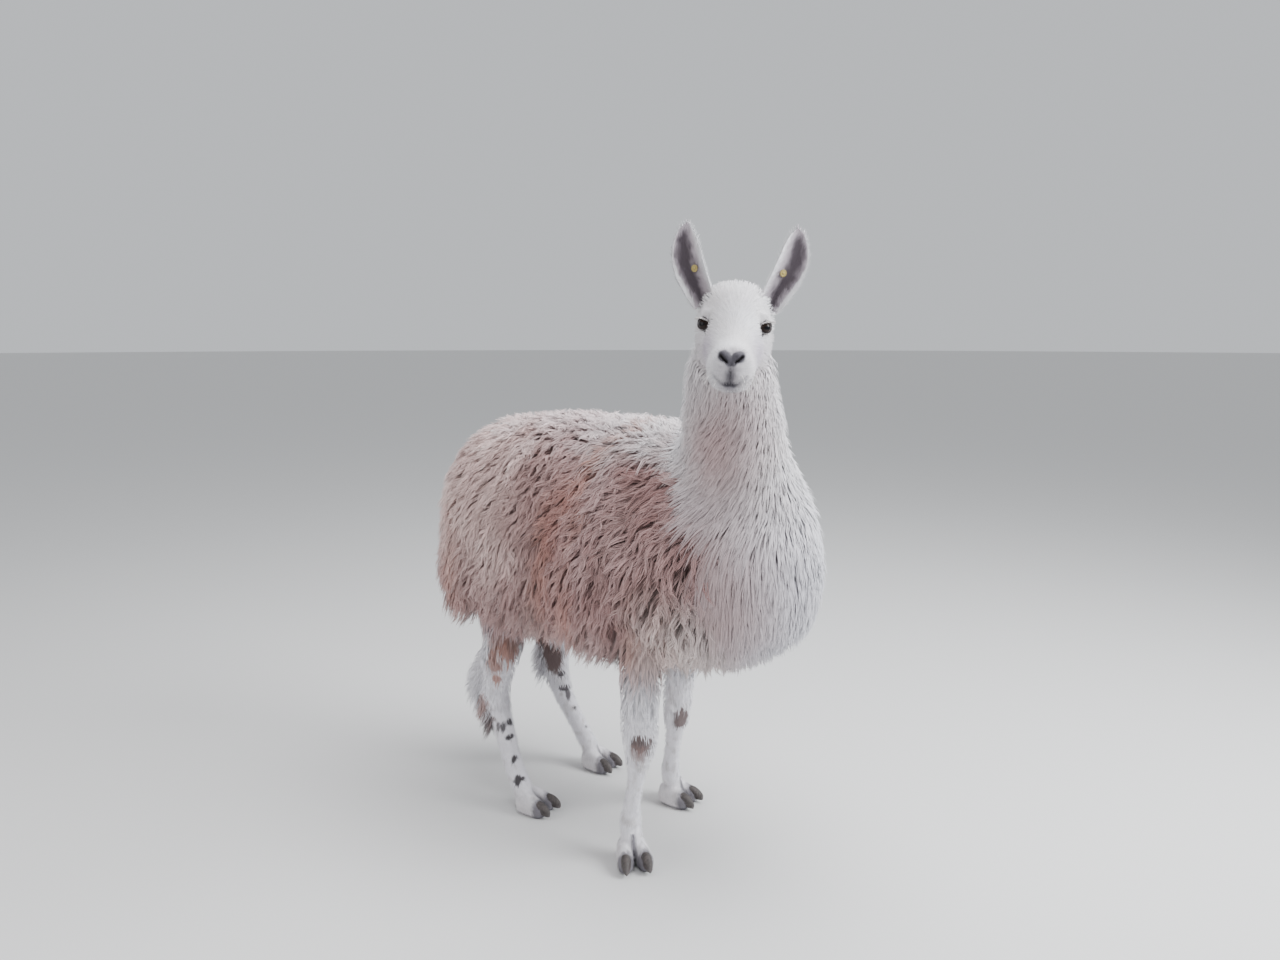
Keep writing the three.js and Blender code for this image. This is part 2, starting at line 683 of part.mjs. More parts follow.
export default group;
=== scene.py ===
"""A llama in long fleece: skin, coat, eyes, nails and ear tags round its solid frame.

Shapes are written in the body frame, in millimetres: x from tail to chest, y to the animal's
left, z up, origin on the floor midway between the front feet.  `place` carries them into the
row frame in metres.
"""

import math
from types import SimpleNamespace

import bpy
import numpy as np
from mathutils import Euler, Matrix, Vector
from mathutils.bvhtree import BVHTree
from mathutils.kdtree import KDTree


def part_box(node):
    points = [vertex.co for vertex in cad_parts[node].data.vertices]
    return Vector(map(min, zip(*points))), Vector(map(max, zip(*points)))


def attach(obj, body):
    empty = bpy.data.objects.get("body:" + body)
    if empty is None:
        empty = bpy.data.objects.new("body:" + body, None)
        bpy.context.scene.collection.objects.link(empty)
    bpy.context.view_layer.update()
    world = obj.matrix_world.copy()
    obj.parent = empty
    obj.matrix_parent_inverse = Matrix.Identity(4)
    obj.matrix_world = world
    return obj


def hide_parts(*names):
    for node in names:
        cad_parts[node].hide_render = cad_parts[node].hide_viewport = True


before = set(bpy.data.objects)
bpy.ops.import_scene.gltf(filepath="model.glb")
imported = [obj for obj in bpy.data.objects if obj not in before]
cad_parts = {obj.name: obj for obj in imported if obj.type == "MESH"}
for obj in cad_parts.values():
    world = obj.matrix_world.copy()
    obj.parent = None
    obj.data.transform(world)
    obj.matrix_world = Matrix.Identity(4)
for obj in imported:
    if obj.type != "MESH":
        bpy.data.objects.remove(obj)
bpy.context.view_layer.update()

# ------------------------------------------------------------------ driving sizes, millimetres
EYE_POINT = np.array([423.0, -215.0, 1440.0])
HEAD_TURN, HEAD_PITCH, HEAD_ROLL = -52.5, -2.0, 3.5
EYE_RADIUS, EYE_SPREAD, EYE_SETBACK, LID_TURN = 19.5, 61.0, 5.0, 54.0
IRIS_EDGE = 0.72  # radians from the way the eye looks
EAR_THICKNESS, EAR_TOE_OUT = 9.0, 12.0
TAG_RADIUS, TAG_THICKNESS, TAG_STUD_RADIUS = 8.0, 3.0, 2.2
TAG_REACH, TAG_UP_EAR, TAG_WALL = 5.5 + 0.8, 0.36, 11.0  # half the stud, place, ear's wall
TOE_OFFSET, TOE_SPLAY = 23.0, 7.0
CAMERA_SPOT = np.array([1747.0, -1912.0, 1420.0])
CAMERA_TURN, CAMERA_DIP, CAMERA_LENS = 43.5, 8.57, 27.06
HEM = [(-800, 490), (60, 505), (180, 592), (300, 628), (430, 705)]  # x, lowest hair
LOFT = 12.0  # how far a strand may stand off its lock
PATCH = 0.003  # the size of a strand's patch on the unrolled skin
LOWEST_HAIR, LOWEST_NAIL = 1.2, 0.6
LEG_VOXEL, SOLE_HEIGHT = 0.0042, 0.0008  # metres
HEAD_BOTTOM = 1280.0  # no part of the head lies lower

LEFT = np.array([0.0, 1.0, 0.0])
UP = np.array([0.0, 0.0, 1.0])
SIDES = ((-1, "right"), (1, "left"))
AHEAD = np.array([1.0, 0.0, 0.0])

# Each row: x, y, z, half width, reach above, reach below, turn in degrees, how far the ring
# follows the path, and the coat's depth at the sides, above and below.  The front is built
# upwards, so there above is ahead and below is behind; the head has its own frame.
TRUNK = [
    (-838, 0, 820, 226, 286, 264, 0, 1, 40, 38, 66),
    (-710, 0, 820, 252, 332, 288, 0, 1, 40, 36, 76),
    (-560, 0, 820, 266, 350, 286, 0, 1, 41, 34, 80),
    (-400, -2, 820, 272, 374, 268, 0, 1, 42, 34, 76),
    (-240, -4, 820, 272, 381, 238, 0, 1, 42, 34, 64),
    (-80, -6, 820, 266, 374, 228, 0, 1, 42, 34, 60),
    (80, -10, 820, 254, 361, 250, 0, 1, 42, 35, 66),
    (200, -14, 820, 226, 320, 236, 0, 1, 40, 36, 66),
    (300, -18, 820, 170, 220, 200, 0, 1, 38, 40, 60),
]
TAIL = [
    (-660, 0, 1050, 36, 30, 30, 0, 1, 14, 12, 12),
    (-760, 0, 1050, 36, 30, 30, 0, 1, 14, 12, 12),
    (-818, 0, 1002, 50, 36, 40, 0, 1, 30, 22, 26),
    (-850, 0, 920, 60, 36, 50, 0, 1, 42, 24, 38),
    (-860, 0, 830, 58, 34, 48, 0, 1, 44, 24, 38),
    (-856, 0, 735, 36, 22, 30, 0, 1, 28, 16, 24),
]
FRONT = [
    (152, -18, 548, 214, 248, 230, 0, 0, 58, 96, 44),
    (158, -16, 650, 228, 280, 250, 0, 0, 54, 90, 42),
    (162, -14, 745, 236, 306, 260, 0, 0, 42, 64, 38),
    (166, -12, 840, 240, 314, 256, 0, 0.05, 36, 46, 36),
    (196, -12, 930, 224, 280, 244, 0, 0.2, 32, 36, 34),
    (234, -16, 1000, 196, 232, 212, -4, 0.35, 33, 38, 32),
    (274, -32, 1065, 152, 178, 172, -15, 0.6, 30, 30, 30),
    (307, -63, 1140, 125, 143, 142, -30, 0.9, 28, 28, 28),
    (331, -99, 1215, 116, 129, 130, -41, 1, 27, 27, 27),
    (348, -128, 1290, 103, 113, 114, -48, 1, 25, 24, 24),
    (357, -141, 1360, 91, 98, 100, -52, 1, 22, 20, 20),
    (358, -140, 1435, 66, 70, 78, -52, 1, 18, 16, 18),
]
HEAD = [
    (-122, 0, 2, 70, 66, 66, 0, 0, 16, 16, 14),
    (-90, 0, 0, 84, 84, 92, 0, 0, 14, 14, 14),
    (-50, 0, 0, 91, 94, 106, 0, 0, 12, 13, 13),
    (-15, 0, -4, 87, 97, 108, 0, 0, 10, 12, 12),
    (20, 0, -20, 71, 94, 97, 0, 0, 12, 8, 10),
    (55, 0, -44, 60, 83, 77, 0, 0, 8, 6, 9),
    (90, 0, -64, 54, 68, 61, 0, 0, 5, 5, 8),
    (125, 0, -78, 50, 56, 53, 0, 0, 5, 4, 6),
    (158, 0, -84, 50, 49, 50, 0, 0, 4, 3, 5),
    (190, 0, -84, 44, 44, 44, 0, 0, 3, 3, 4),
]
# From the top down: x, y, z, half width, reach forwards, reach backwards.
LEGS = {
    "fore_right": [
        (122, -182, 690, 58, 70, 70), (110, -182, 570, 54, 62, 62), (104, -179, 470, 48, 52, 58),
        (98, -172, 392, 48, 50, 60), (90, -166, 342, 42, 46, 48), (76, -160, 292, 33, 34, 36),
        (62, -154, 235, 23, 26, 27), (46, -149, 165, 24, 27, 28), (38, -148, 112, 31, 33, 34),
        (46, -153, 72, 32, 31, 32), (54, -158, 36, 30, 26, 28),
    ],
    "fore_left": [
        (4, 120, 690, 58, 70, 70), (-6, 119, 560, 52, 60, 60), (-16, 117, 450, 45, 48, 54),
        (-22, 115, 365, 42, 44, 50), (-28, 115, 310, 37, 40, 42), (-44, 125, 262, 29, 30, 32),
        (-60, 136, 215, 25, 27, 28), (-78, 150, 155, 25, 27, 28), (-92, 162, 105, 30, 31, 32),
        (-92, 172, 70, 31, 30, 31), (-88, 180, 36, 30, 26, 28),
    ],
    "hind_right": [
        (-520, -150, 740, 78, 128, 120), (-480, -160, 620, 72, 98, 100),
        (-470, -167, 545, 62, 76, 82), (-486, -169, 468, 54, 62, 68),
        (-518, -167, 400, 50, 62, 90), (-524, -166, 348, 45, 56, 92),
        (-502, -168, 288, 36, 42, 60), (-472, -171, 222, 31, 38, 42),
        (-444, -174, 160, 29, 36, 38), (-414, -177, 112, 30, 35, 37),
        (-392, -174, 74, 31, 33, 35), (-378, -164, 36, 30, 28, 30),
    ],
    "hind_left": [
        (-560, 112, 740, 78, 128, 120), (-560, 106, 620, 72, 100, 106),
        (-556, 100, 520, 62, 80, 86), (-548, 95, 432, 53, 64, 72),
        (-536, 91, 368, 44, 50, 68), (-524, 91, 324, 38, 44, 62),
        (-513, 104, 262, 32, 38, 44), (-500, 124, 204, 29, 35, 37),
        (-486, 148, 144, 28, 34, 35), (-472, 165, 98, 29, 34, 36),
        (-458, 174, 66, 30, 32, 34), (-444, 178, 34, 30, 28, 30),
    ],
}
HOCK_HEIGHT = 372
LEG_COAT = [30, 240, 330, 420, 560, 700], [4, 5, 7, 10, 16, 20]  # height, depth
FEET = {  # x, y, turn
    "fore_right": (62, -164, -34),
    "fore_left": (-84, 182, 14),
    "hind_right": (-360, -156, 18),
    "hind_left": (-430, 182, 12),
}
# Toe and nail, in the toe's own frame: x, y, z, half width, reach above, reach below.
TOE = [row + (0, 1, 2.6, 3.5, 1.0) for row in [
    (-52, 0, 24, 18, 28, 32), (-22, 0, 28, 22, 44, 36), (10, 0, 27, 23, 36, 35),
    (36, 0, 23, 22, 24, 31), (58, 0, 18, 14, 13, 24),
]]
NAIL = [
    (24, 0, 38, 13, 14, 12), (44, 0, 32, 14, 16, 18), (62, 0, 22, 10, 13, 15),
    (74, 0, 11, 4, 5, 6),
]
# Up the ear's axis: x, y to the side, z, width, curl in degrees, share of the thickness.
EAR = [
    (-48, 66, 44, 54, 96, 1), (-50, 84, 78, 66, 82, 1), (-53, 101, 110, 74, 66, 0.9),
    (-57, 114, 145, 72, 56, 0.8), (-60, 120, 178, 58, 50, 0.7), (-62, 122, 203, 36, 44, 0.6),
    (-62, 122, 218, 8, 40, 0.4),
]


def head_matrix():
    turn = Matrix.Rotation(math.radians(HEAD_TURN), 4, "Z")
    pitch = Matrix.Rotation(math.radians(-HEAD_PITCH), 4, "Y")
    roll = Matrix.Rotation(math.radians(-HEAD_ROLL), 4, "X")
    return Matrix.Translation(EYE_POINT) @ turn @ pitch @ roll


def apply_matrix(matrix, points):
    m = np.array(matrix)
    return points @ m[:3, :3].T + m[:3, 3]


HEAD_PLACE = head_matrix()
HEAD_BACK = HEAD_PLACE.inverted()
HEAD_AXES = np.array(HEAD_PLACE)[:3, :3]


def in_head(points):
    return apply_matrix(HEAD_BACK, points)


def frame_shift():
    """How far the row frame's origin lies from the body frame's, from where the eyes are."""
    boxes = [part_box(name) for name in ("eye_right", "eye_left")]
    seen = sum((np.array(low) + np.array(high) for low, high in boxes)) / 4
    meant = apply_matrix(HEAD_PLACE, np.array([[-EYE_SETBACK, 0.0, 0.0]]))[0] / 1000
    return seen - meant


SHIFT = frame_shift()
SHIFT[2] = 0.0


def place(points):
    """Body frame in millimetres to row frame in metres."""
    return np.asarray(points) / 1000 + SHIFT


def unplace(points):
    return (np.asarray(points) - SHIFT) * 1000


# ------------------------------------------------------------------ numbers and noise
def unit(vectors):
    length = np.linalg.norm(vectors, axis=-1, keepdims=True)
    return vectors / np.maximum(length, 1e-9)


def ease(value, low, high):
    t = np.clip((value - low) / (high - low), 0.0, 1.0)
    return t * t * (3 - 2 * t)


def bell(*terms):
    """Falls from 1 to 0 away from a centre; each term is a value, its centre and spread."""
    return np.exp(-sum(((value - centre) / spread) ** 2 for value, centre, spread in terms))


def mix(a, b, share):
    share = np.asarray(share)[..., None]
    return np.asarray(a) * (1 - share) + np.asarray(b) * share


def cell_key(ix, iy, iz):
    """One whole number for each cell of a grid."""
    return (ix * 73856093) ^ (iy * 19349663) ^ (iz * 83492791)


def lattice(ix, iy, iz, seed):
    """A repeatable number from -1 to 1 for each cell."""
    h = cell_key(ix, iy, iz) ^ (seed * 2654435761)
    h = (h ^ (h >> 13)) * 1274126177 & 0xFFFFFFFF
    return ((h ^ (h >> 16)) & 0xFFFF) / 32767.5 - 1.0


def noise(points, size, seed=0):
    """Smooth noise from -1 to 1; size is one length, or one per axis, in millimetres."""
    q = np.asarray(points) / np.asarray(size, float)
    cell = np.floor(q).astype(np.int64)
    f = q - cell
    f = f * f * (3 - 2 * f)
    total = np.zeros(len(q))
    for dx in (0, 1):
        for dy in (0, 1):
            for dz in (0, 1):
                weight = (
                    (f[:, 0] if dx else 1 - f[:, 0])
                    * (f[:, 1] if dy else 1 - f[:, 1])
                    * (f[:, 2] if dz else 1 - f[:, 2])
                )
                total += weight * lattice(cell[:, 0] + dx, cell[:, 1] + dy, cell[:, 2] + dz, seed)
    return total


def smooth(rows, t):
    last = len(rows) - 1
    at = np.clip(t, 0, 1) * last
    i = np.minimum(at.astype(int), last - 1)
    u = (at - i)[:, None]
    a, b, c, d = (rows[np.clip(i + k, 0, last)] for k in (-1, 0, 1, 2))
    return b + 0.5 * u * (c - a + u * (2 * a - 5 * b + 4 * c - d + u * (3 * (b - c) + d - a)))


# ------------------------------------------------------------------ rounded bodies along a path
class Body:
    """Rings set along a path; coat 0 gives the outer shape and coat 1 the skin under it."""

    def __init__(self, rows, side, level=None, caps=(0, 0), sink=(0, 0), square=(2, 2)):
        rows = np.array([tuple(r) + (0, 1, 0, 0, 0)[: 11 - len(r)] for r in rows], float)
        self.rows, self.side, self.level = rows, side, level
        self.caps, self.sink, self.square = caps, sink, square
        self.fine = np.linspace(0, 1, 400)
        path = smooth(rows, self.fine)[:, :3]
        steps = np.linalg.norm(np.diff(path, axis=0), axis=1)
        self.lengths = np.concatenate([[0], np.cumsum(steps)])

    def spots(self, spacing, cap_rings=12):
        """Ring places from 0 to 1, evenly spaced in the middle and closer in the round ends."""
        total = self.lengths[-1]
        start, end = (c / total for c in self.caps)
        bend = 1 - np.cos(np.linspace(0, np.pi / 2, cap_rings + 1))
        count = max(int(total * (1 - start - end) / spacing), 2)
        middle = np.linspace(start, 1 - end, count + 1)
        first = bend[1:-1] * start if start > 0 else []
        last = (1 - bend[1:-1] * end)[::-1] if end > 0 else []
        return np.concatenate([first, middle, last])

    def frames(self, spots, coat):
        """Sizes, axes and fade of the rings; fade closes the round ends."""
        low = self.sink[0] * coat
        high = self.lengths[-1] - self.sink[1] * coat
        distance = low + spots * (high - low)
        t = np.interp(distance, self.lengths, self.fine)
        values = smooth(self.rows, t)
        along = unit(
            smooth(self.rows, np.minimum(t + 0.004, 1))[:, :3]
            - smooth(self.rows, np.maximum(t - 0.004, 0))[:, :3]
        )
        if self.level is not None:
            follow = values[:, 7:8]
            along = unit(along * follow + self.level * (1 - follow))
        turn = np.radians(values[:, 6])
        c, s = np.cos(turn), np.sin(turn)
        across = np.stack([
            self.side[0] * c - self.side[1] * s,
            self.side[0] * s + self.side[1] * c,
            np.full_like(c, self.side[2]),
        ], 1)
        across = unit(across - along * (across * along).sum(1, keepdims=True))
        upward = np.cross(along, across)
        from_start = np.clip(1 - (distance - low) / max(self.caps[0], 1e-6), 0, 1)
        from_end = np.clip(1 - (high - distance) / max(self.caps[1], 1e-6), 0, 1)
        fade = np.sqrt(np.maximum(1 - np.maximum(from_start, from_end) ** 2, 0))
        return values, along, across, upward, fade

    def grid(self, spots, angles, coat):
        """Points ring by ring; square above 2 makes a ring boxier than an ellipse."""
        values, _, across, upward, fade = self.frames(spots, coat)
        half, rise, drop = (
            ((values[:, 3 + k] - coat * values[:, 8 + k]) * fade)[:, None] for k in range(3)
        )
        top = np.sin(angles) > 0
        power = np.where(top, 2 / self.square[0], 2 / self.square[1])
        u = np.sign(np.cos(angles)) * np.abs(np.cos(angles)) ** power
        v = np.sign(np.sin(angles)) * np.abs(np.sin(angles)) ** power
        reach = np.where(v[None] > 0, rise, drop) * v[None]
        return (
            values[:, None, :3]
            + across[:, None] * (u[None] * half)[..., None]
            + upward[:, None] * reach[..., None]
        )

    def poles(self, coat):
        values = self.frames(np.array([0.0, 1.0]), coat)[0]
        return values[:2, :3]


def even_angles(count, crowd=0.0):
    """Angles round a ring; crowd draws them together at the two sides."""
    theta = np.arange(count) / count * 2 * np.pi
    return theta - crowd * np.sin(2 * theta) / 2


def ring_faces(rings, count):
    """Triangles between rings, and fans to two poles stored after the last ring."""
    r, i = np.meshgrid(np.arange(rings - 1), np.arange(count), indexing="ij")
    a = (r * count + i).ravel()
    b = (r * count + (i + 1) % count).ravel()
    sides = np.concatenate([
        np.stack([a, b, b + count], 1),
        np.stack([a, b + count, a + count], 1),
    ])
    i = np.arange(count)
    j = (i + 1) % count
    first, last, base = rings * count, rings * count + 1, (rings - 1) * count
    fans = np.concatenate([
        np.stack([np.full(count, first), j, i], 1),
        np.stack([np.full(count, last), base + i, base + j], 1),
    ])
    return np.concatenate([sides, fans])


def outward(points, faces):
    a, b, c = (points[faces[:, k]] for k in range(3))
    volume = (a * np.cross(b, c)).sum()
    return faces if volume > 0 else faces[:, ::-1]


class Shell:
    """A closed skin with, for every point, its outer place at the coat tips."""

    def __init__(self, skin, tips, spots, count):
        self.skin, self.tips = skin, tips
        self.faces = outward(skin, ring_faces(len(spots), count))
        self.along = np.concatenate([np.repeat(spots, count), [0.0, 1.0]])

    def moved(self, matrix):
        self.skin = apply_matrix(matrix, self.skin)
        self.tips = apply_matrix(matrix, self.tips)
        return self


def body_shell(body, spacing, count, crowd=0.0, cap_rings=12, spots=None):
    spots = body.spots(spacing, cap_rings) if spots is None else spots
    angles = even_angles(count, crowd)
    skin, tips = (
        np.concatenate([body.grid(spots, angles, coat).reshape(-1, 3), body.poles(coat)])
        for coat in (1.0, 0.0)
    )
    return Shell(skin, tips, spots, count)


def mesh_of(name, points, faces):
    """A mesh from numpy arrays of triangles."""
    mesh = bpy.data.meshes.new(name)
    mesh.vertices.add(len(points))
    mesh.vertices.foreach_set("co", np.asarray(points, np.float32).ravel())
    mesh.loops.add(len(faces) * 3)
    mesh.loops.foreach_set("vertex_index", np.asarray(faces, np.int32).ravel())
    mesh.polygons.add(len(faces))
    mesh.polygons.foreach_set("loop_start", np.arange(len(faces), dtype=np.int32) * 3)
    mesh.update(calc_edges=True)
    return mesh


def new_object(name, data):
    obj = bpy.data.objects.new(name, data)
    bpy.context.scene.collection.objects.link(obj)
    return obj


def read_points(mesh):
    points = np.empty(len(mesh.vertices) * 3, np.float32)
    mesh.vertices.foreach_get("co", points)
    return points.reshape(-1, 3).astype(float)


def read_faces(mesh):
    mesh.calc_loop_triangles()
    faces = np.empty(len(mesh.loop_triangles) * 3, np.int32)
    mesh.loop_triangles.foreach_get("vertices", faces)
    return faces.reshape(-1, 3)


def round_shaded(mesh):
    mesh.polygons.foreach_set("use_smooth", np.ones(len(mesh.polygons), bool))


def write_layer(mesh, name, kind, values):
    """Stores a number, a direction or a colour for every point of a mesh."""
    layer = mesh.attributes.new(name, kind, "POINT")
    key = {"FLOAT": "value", "FLOAT_VECTOR": "vector", "FLOAT_COLOR": "color"}[kind]
    layer.data.foreach_set(key, np.asarray(values, np.float32).ravel())


def write_dye(mesh, colours):
    opaque = np.ones((len(colours), 1))
    write_layer(mesh, "dye", "FLOAT_COLOR", np.concatenate([colours, opaque], 1))


def point_normals(points, faces):
    a, b, c = (points[faces[:, k]] for k in range(3))
    normal = np.cross(b - a, c - a)
    total = np.zeros_like(points)
    for k in range(3):
        for axis in range(3):
            total[:, axis] += np.bincount(faces[:, k], normal[:, axis], len(points))
    return unit(total)


def settle(obj):
    """Turns an object's modifiers into plain mesh."""
    depsgraph = bpy.context.evaluated_depsgraph_get()
    made = bpy.data.meshes.new_from_object(obj.evaluated_get(depsgraph))
    obj.modifiers.clear()
    old, obj.data = obj.data, made
    bpy.data.meshes.remove(old)
    return obj


# ------------------------------------------------------------------ shells of skin and coat
def ear_path(sign):
    return np.array(EAR, float) * [1, sign, 1, 1, 1, 1]


def ear_frame(sign, t):
    """Axis, direction the hollow faces and the sideways direction of an ear at t."""
    rows = ear_path(sign)
    ahead = smooth(rows, np.minimum(t + 0.02, 1))[:, :3]
    behind = smooth(rows, np.maximum(t - 0.02, 0))[:, :3]
    along = unit(ahead - behind)
    toe_out = math.radians(sign * EAR_TOE_OUT)
    face = np.array([[math.cos(toe_out), math.sin(toe_out), 0.0]])
    face = unit(face - along * (along * face).sum(1, keepdims=True))
    return along, face, np.cross(face, along)


def ear_rings(sign, t):
    """Sizes of an ear at t, its curl, its outer radius and the middle of its hollow."""
    values = smooth(ear_path(sign), t)
    curl = np.radians(values[:, 4])
    outer = values[:, 3] / 2 / np.sin(np.minimum(curl, np.pi / 2))
    return values, curl, outer, values[:, :3] + ear_frame(sign, t)[1] * outer[:, None]


def up_ear(sign, points, steps=59):
    """How far up an ear each point lies, from 0 to 1."""
    table = smooth(ear_path(sign), np.linspace(0, 1, steps + 1))
    return np.clip(np.searchsorted(table[:, 2], points[:, 2]), 0, steps) / steps


def ear_shell(sign, rings=46, arc=22):
    """A cupped leaf: every ring is a crescent whose hollow side faces forwards."""
    t = np.linspace(0, 1, rings + 1)
    _, face, side = ear_frame(sign, t)
    values, curl, outer, hollow = ear_rings(sign, t)
    thick = EAR_THICKNESS * values[:, 5]
    share = np.linspace(-1, 1, arc + 1)
    roundness = np.sqrt(np.clip(1 - np.abs(share) ** 6, 0, 1)) * 0.85 + 0.15
    layers = []
    for coat in (1.0, 0.0):
        back_radius = (outer - 2.2 * coat)[:, None] * np.ones_like(share)[None]
        depth = (thick - 3.4 * coat)[:, None] * (1 - 0.45 * share**2)[None] * roundness[None]
        spread = 1 - 0.035 * coat
        back = curl[:, None] * -share[None] * spread
        inner = curl[:, None] * share[None] * 0.97 * spread
        front_radius = np.maximum(back_radius - depth, outer[:, None] * 0.2)
        ring = np.concatenate([
            hollow[:, None]
            + side[:, None] * (radius * np.sin(angle))[..., None]
            - face[:, None] * (radius * np.cos(angle))[..., None]
            for angle, radius in ((back, back_radius), (inner, front_radius))
        ], 1)
        ends = np.stack([ring[0].mean(0), ring[-1].mean(0)])
        layers.append(np.concatenate([ring.reshape(-1, 3), ends]))
    return Shell(*layers, t, 2 * (arc + 1))


def leg_rows(name):
    """Legs carry a deeper coat at the top, nearly none below the knee, a tuft at the hock."""
    rows = np.array(LEGS[name], float)
    height = rows[:, 2]
    depth = np.interp(height, *LEG_COAT)
    tufted = depth * (1.6 if name.startswith("hind") else 1.15)
    rear = np.where(np.abs(height - HOCK_HEIGHT) < 60, tufted, depth)
    straight = np.tile([0.0, 1.0], (len(rows), 1))
    return np.column_stack([rows, straight, depth, depth, rear])


def toe_place(name, sign):
    x, y, turn = FEET[name]
    return (
        Matrix.Translation((x, y, 0))
        @ Matrix.Rotation(math.radians(turn), 4, "Z")
        @ Matrix.Translation((0, sign * TOE_OFFSET, 0))
        @ Matrix.Rotation(math.radians(sign * TOE_SPLAY), 4, "Z")
    )


HEAD_RINGS = ((-80, -34, 3.4), (-34, 28, 1.6), (28, 122, 2.9), (122, 164, 1.9))  # from, to, gap


def head_spots(body):
    """Rings drawn close together round the eyes and the muzzle."""
    total = body.lengths[-1]
    back = np.array([-122 + 40 * (1 - math.cos(a)) for a in np.linspace(0.2, 1.5, 7)])
    front = 164 + 26 * np.sin(np.linspace(0, np.pi / 2, 37))[:-1]
    middle = [np.arange(*stretch) for stretch in HEAD_RINGS]
    wanted = np.concatenate([back, *middle, front])
    path = smooth(body.rows, body.fine)[:, 0]
    length = np.interp(wanted, path, body.lengths)
    low, high = body.sink[0], total - body.sink[1]
    return np.clip((length - low) / (high - low), 0.0005, 0.9995)


LID_SIDES = {}  # middle of the eyeball, the way it looks, and level across that
for sign in (-1, 1):
    turn = math.radians(LID_TURN)
    gaze = np.array([math.sin(turn), sign * math.cos(turn), 0.0])
    ahead = np.array([math.cos(turn), -sign * math.sin(turn), 0.0])
    LID_SIDES[sign] = (np.array([-EYE_SETBACK, sign * EYE_SPREAD, 0.0]), gaze, ahead)
LID_LENGTH, LID_ABOVE, LID_BELOW, LID_TILT = 20.0, 12.5, 11.5, math.radians(-7)
LID_SHAPE = 2.1  # 2 would be an ellipse


def eye_reach(points, sign):
    """How far out a point lies, 1 at the lid's edge, and where over the eyeball it is."""
    centre, gaze, ahead = LID_SIDES[sign]
    away = points - centre
    radius = np.linalg.norm(away, axis=1)
    way = away / np.maximum(radius, 1e-6)[:, None]
    arc = EYE_RADIUS * np.arccos(np.clip(way @ gaze, -1, 1))
    level, height = way @ ahead, way[:, 2]
    spread = np.maximum(np.hypot(level, height), 1e-6)
    a, b = arc * level / spread, arc * height / spread
    c, s = math.cos(LID_TILT), math.sin(LID_TILT)
    a, b = a * c + b * s, b * c - a * s
    high = np.where(b > 0, LID_ABOVE, LID_BELOW)
    reach = np.abs(a / LID_LENGTH) ** LID_SHAPE + np.abs(b / high) ** LID_SHAPE
    reach = reach ** (1 / LID_SHAPE)
    return np.where(radius < 48, reach, 9.0), radius, way, a, b


def lid_way(sign, a, b):
    """Direction from the middle of the eyeball to a place on it, the inverse of eye_reach."""
    _, gaze, ahead = LID_SIDES[sign]
    c, s = math.cos(LID_TILT), math.sin(LID_TILT)
    a, b = a * c - b * s, b * c + a * s
    arc = math.hypot(a, b)
    out = (ahead * a + UP * b) / max(arc, 1e-6)
    return gaze * math.cos(arc / EYE_RADIUS) + out * math.sin(arc / EYE_RADIUS)


def carve_eyes(points):
    """Presses the lids close round the eyeballs, with a fold above and a crease within it."""
    for sign in (-1, 1):
        reach, radius, way, _, b = eye_reach(points, sign)
        lid = EYE_RADIUS + np.where(b > 0, 2.6, 2.0)
        inside = EYE_RADIUS - 3.0
        fold = 2.2 * bell((reach, 1.72, 0.2)) * (b > 0)
        crease = -1.3 * bell((reach, 1.42, 0.1)) * (b > -4)
        rim = np.where(reach < 1.0, inside + (lid - inside) * ease(reach, 0.86, 1.0), lid)
        share = np.maximum(ease(reach, 1.18, 1.78), ease(radius, 31, 44))
        share = np.where(reach < 1.05, 0, share)
        target = rim * (1 - share) + (radius + fold + crease) * share
        near = reach < 4
        points[near] = LID_SIDES[sign][0] + way[near] * target[near, None]
    return points


def line_gap(y, z, path):
    """Distance in the front view to a broken line, and how far along it, 0 to 1."""
    path = np.asarray(path, float)
    best = np.full(len(y), 1e9)
    spot = np.zeros(len(y))
    for k in range(len(path) - 1):
        a, b = path[k], path[k + 1]
        d = b - a
        t = np.clip(((y - a[0]) * d[0] + (z - a[1]) * d[1]) / (d @ d), 0, 1)
        gap = np.hypot(y - a[0] - t * d[0], z - a[1] - t * d[1])
        spot = np.where(gap < best, (k + t) / (len(path) - 1), spot)
        best = np.minimum(best, gap)
    return best, spot


def nose_reach(width, z):
    """Below 1 inside the bare nose: two round lobes and the wedge that hangs between them."""
    lobe = np.hypot((width - 14.0) / 14.5, (z + 58 - 0.12 * (width - 14)) / 12.5)
    wedge = np.hypot(width / 15.0, (z + 66) / 11.5)
    return np.minimum(lobe, wedge)


NOSTRIL_LINE = [(22, -57), (18, -61), (13.5, -65), (9.5, -68)]
PHILTRUM = [(0, -73), (0, -92), (0, -111)]
MOUTH_LINE = [(0, -114), (8, -115.5), (17, -112), (25, -105), (33, -97)]


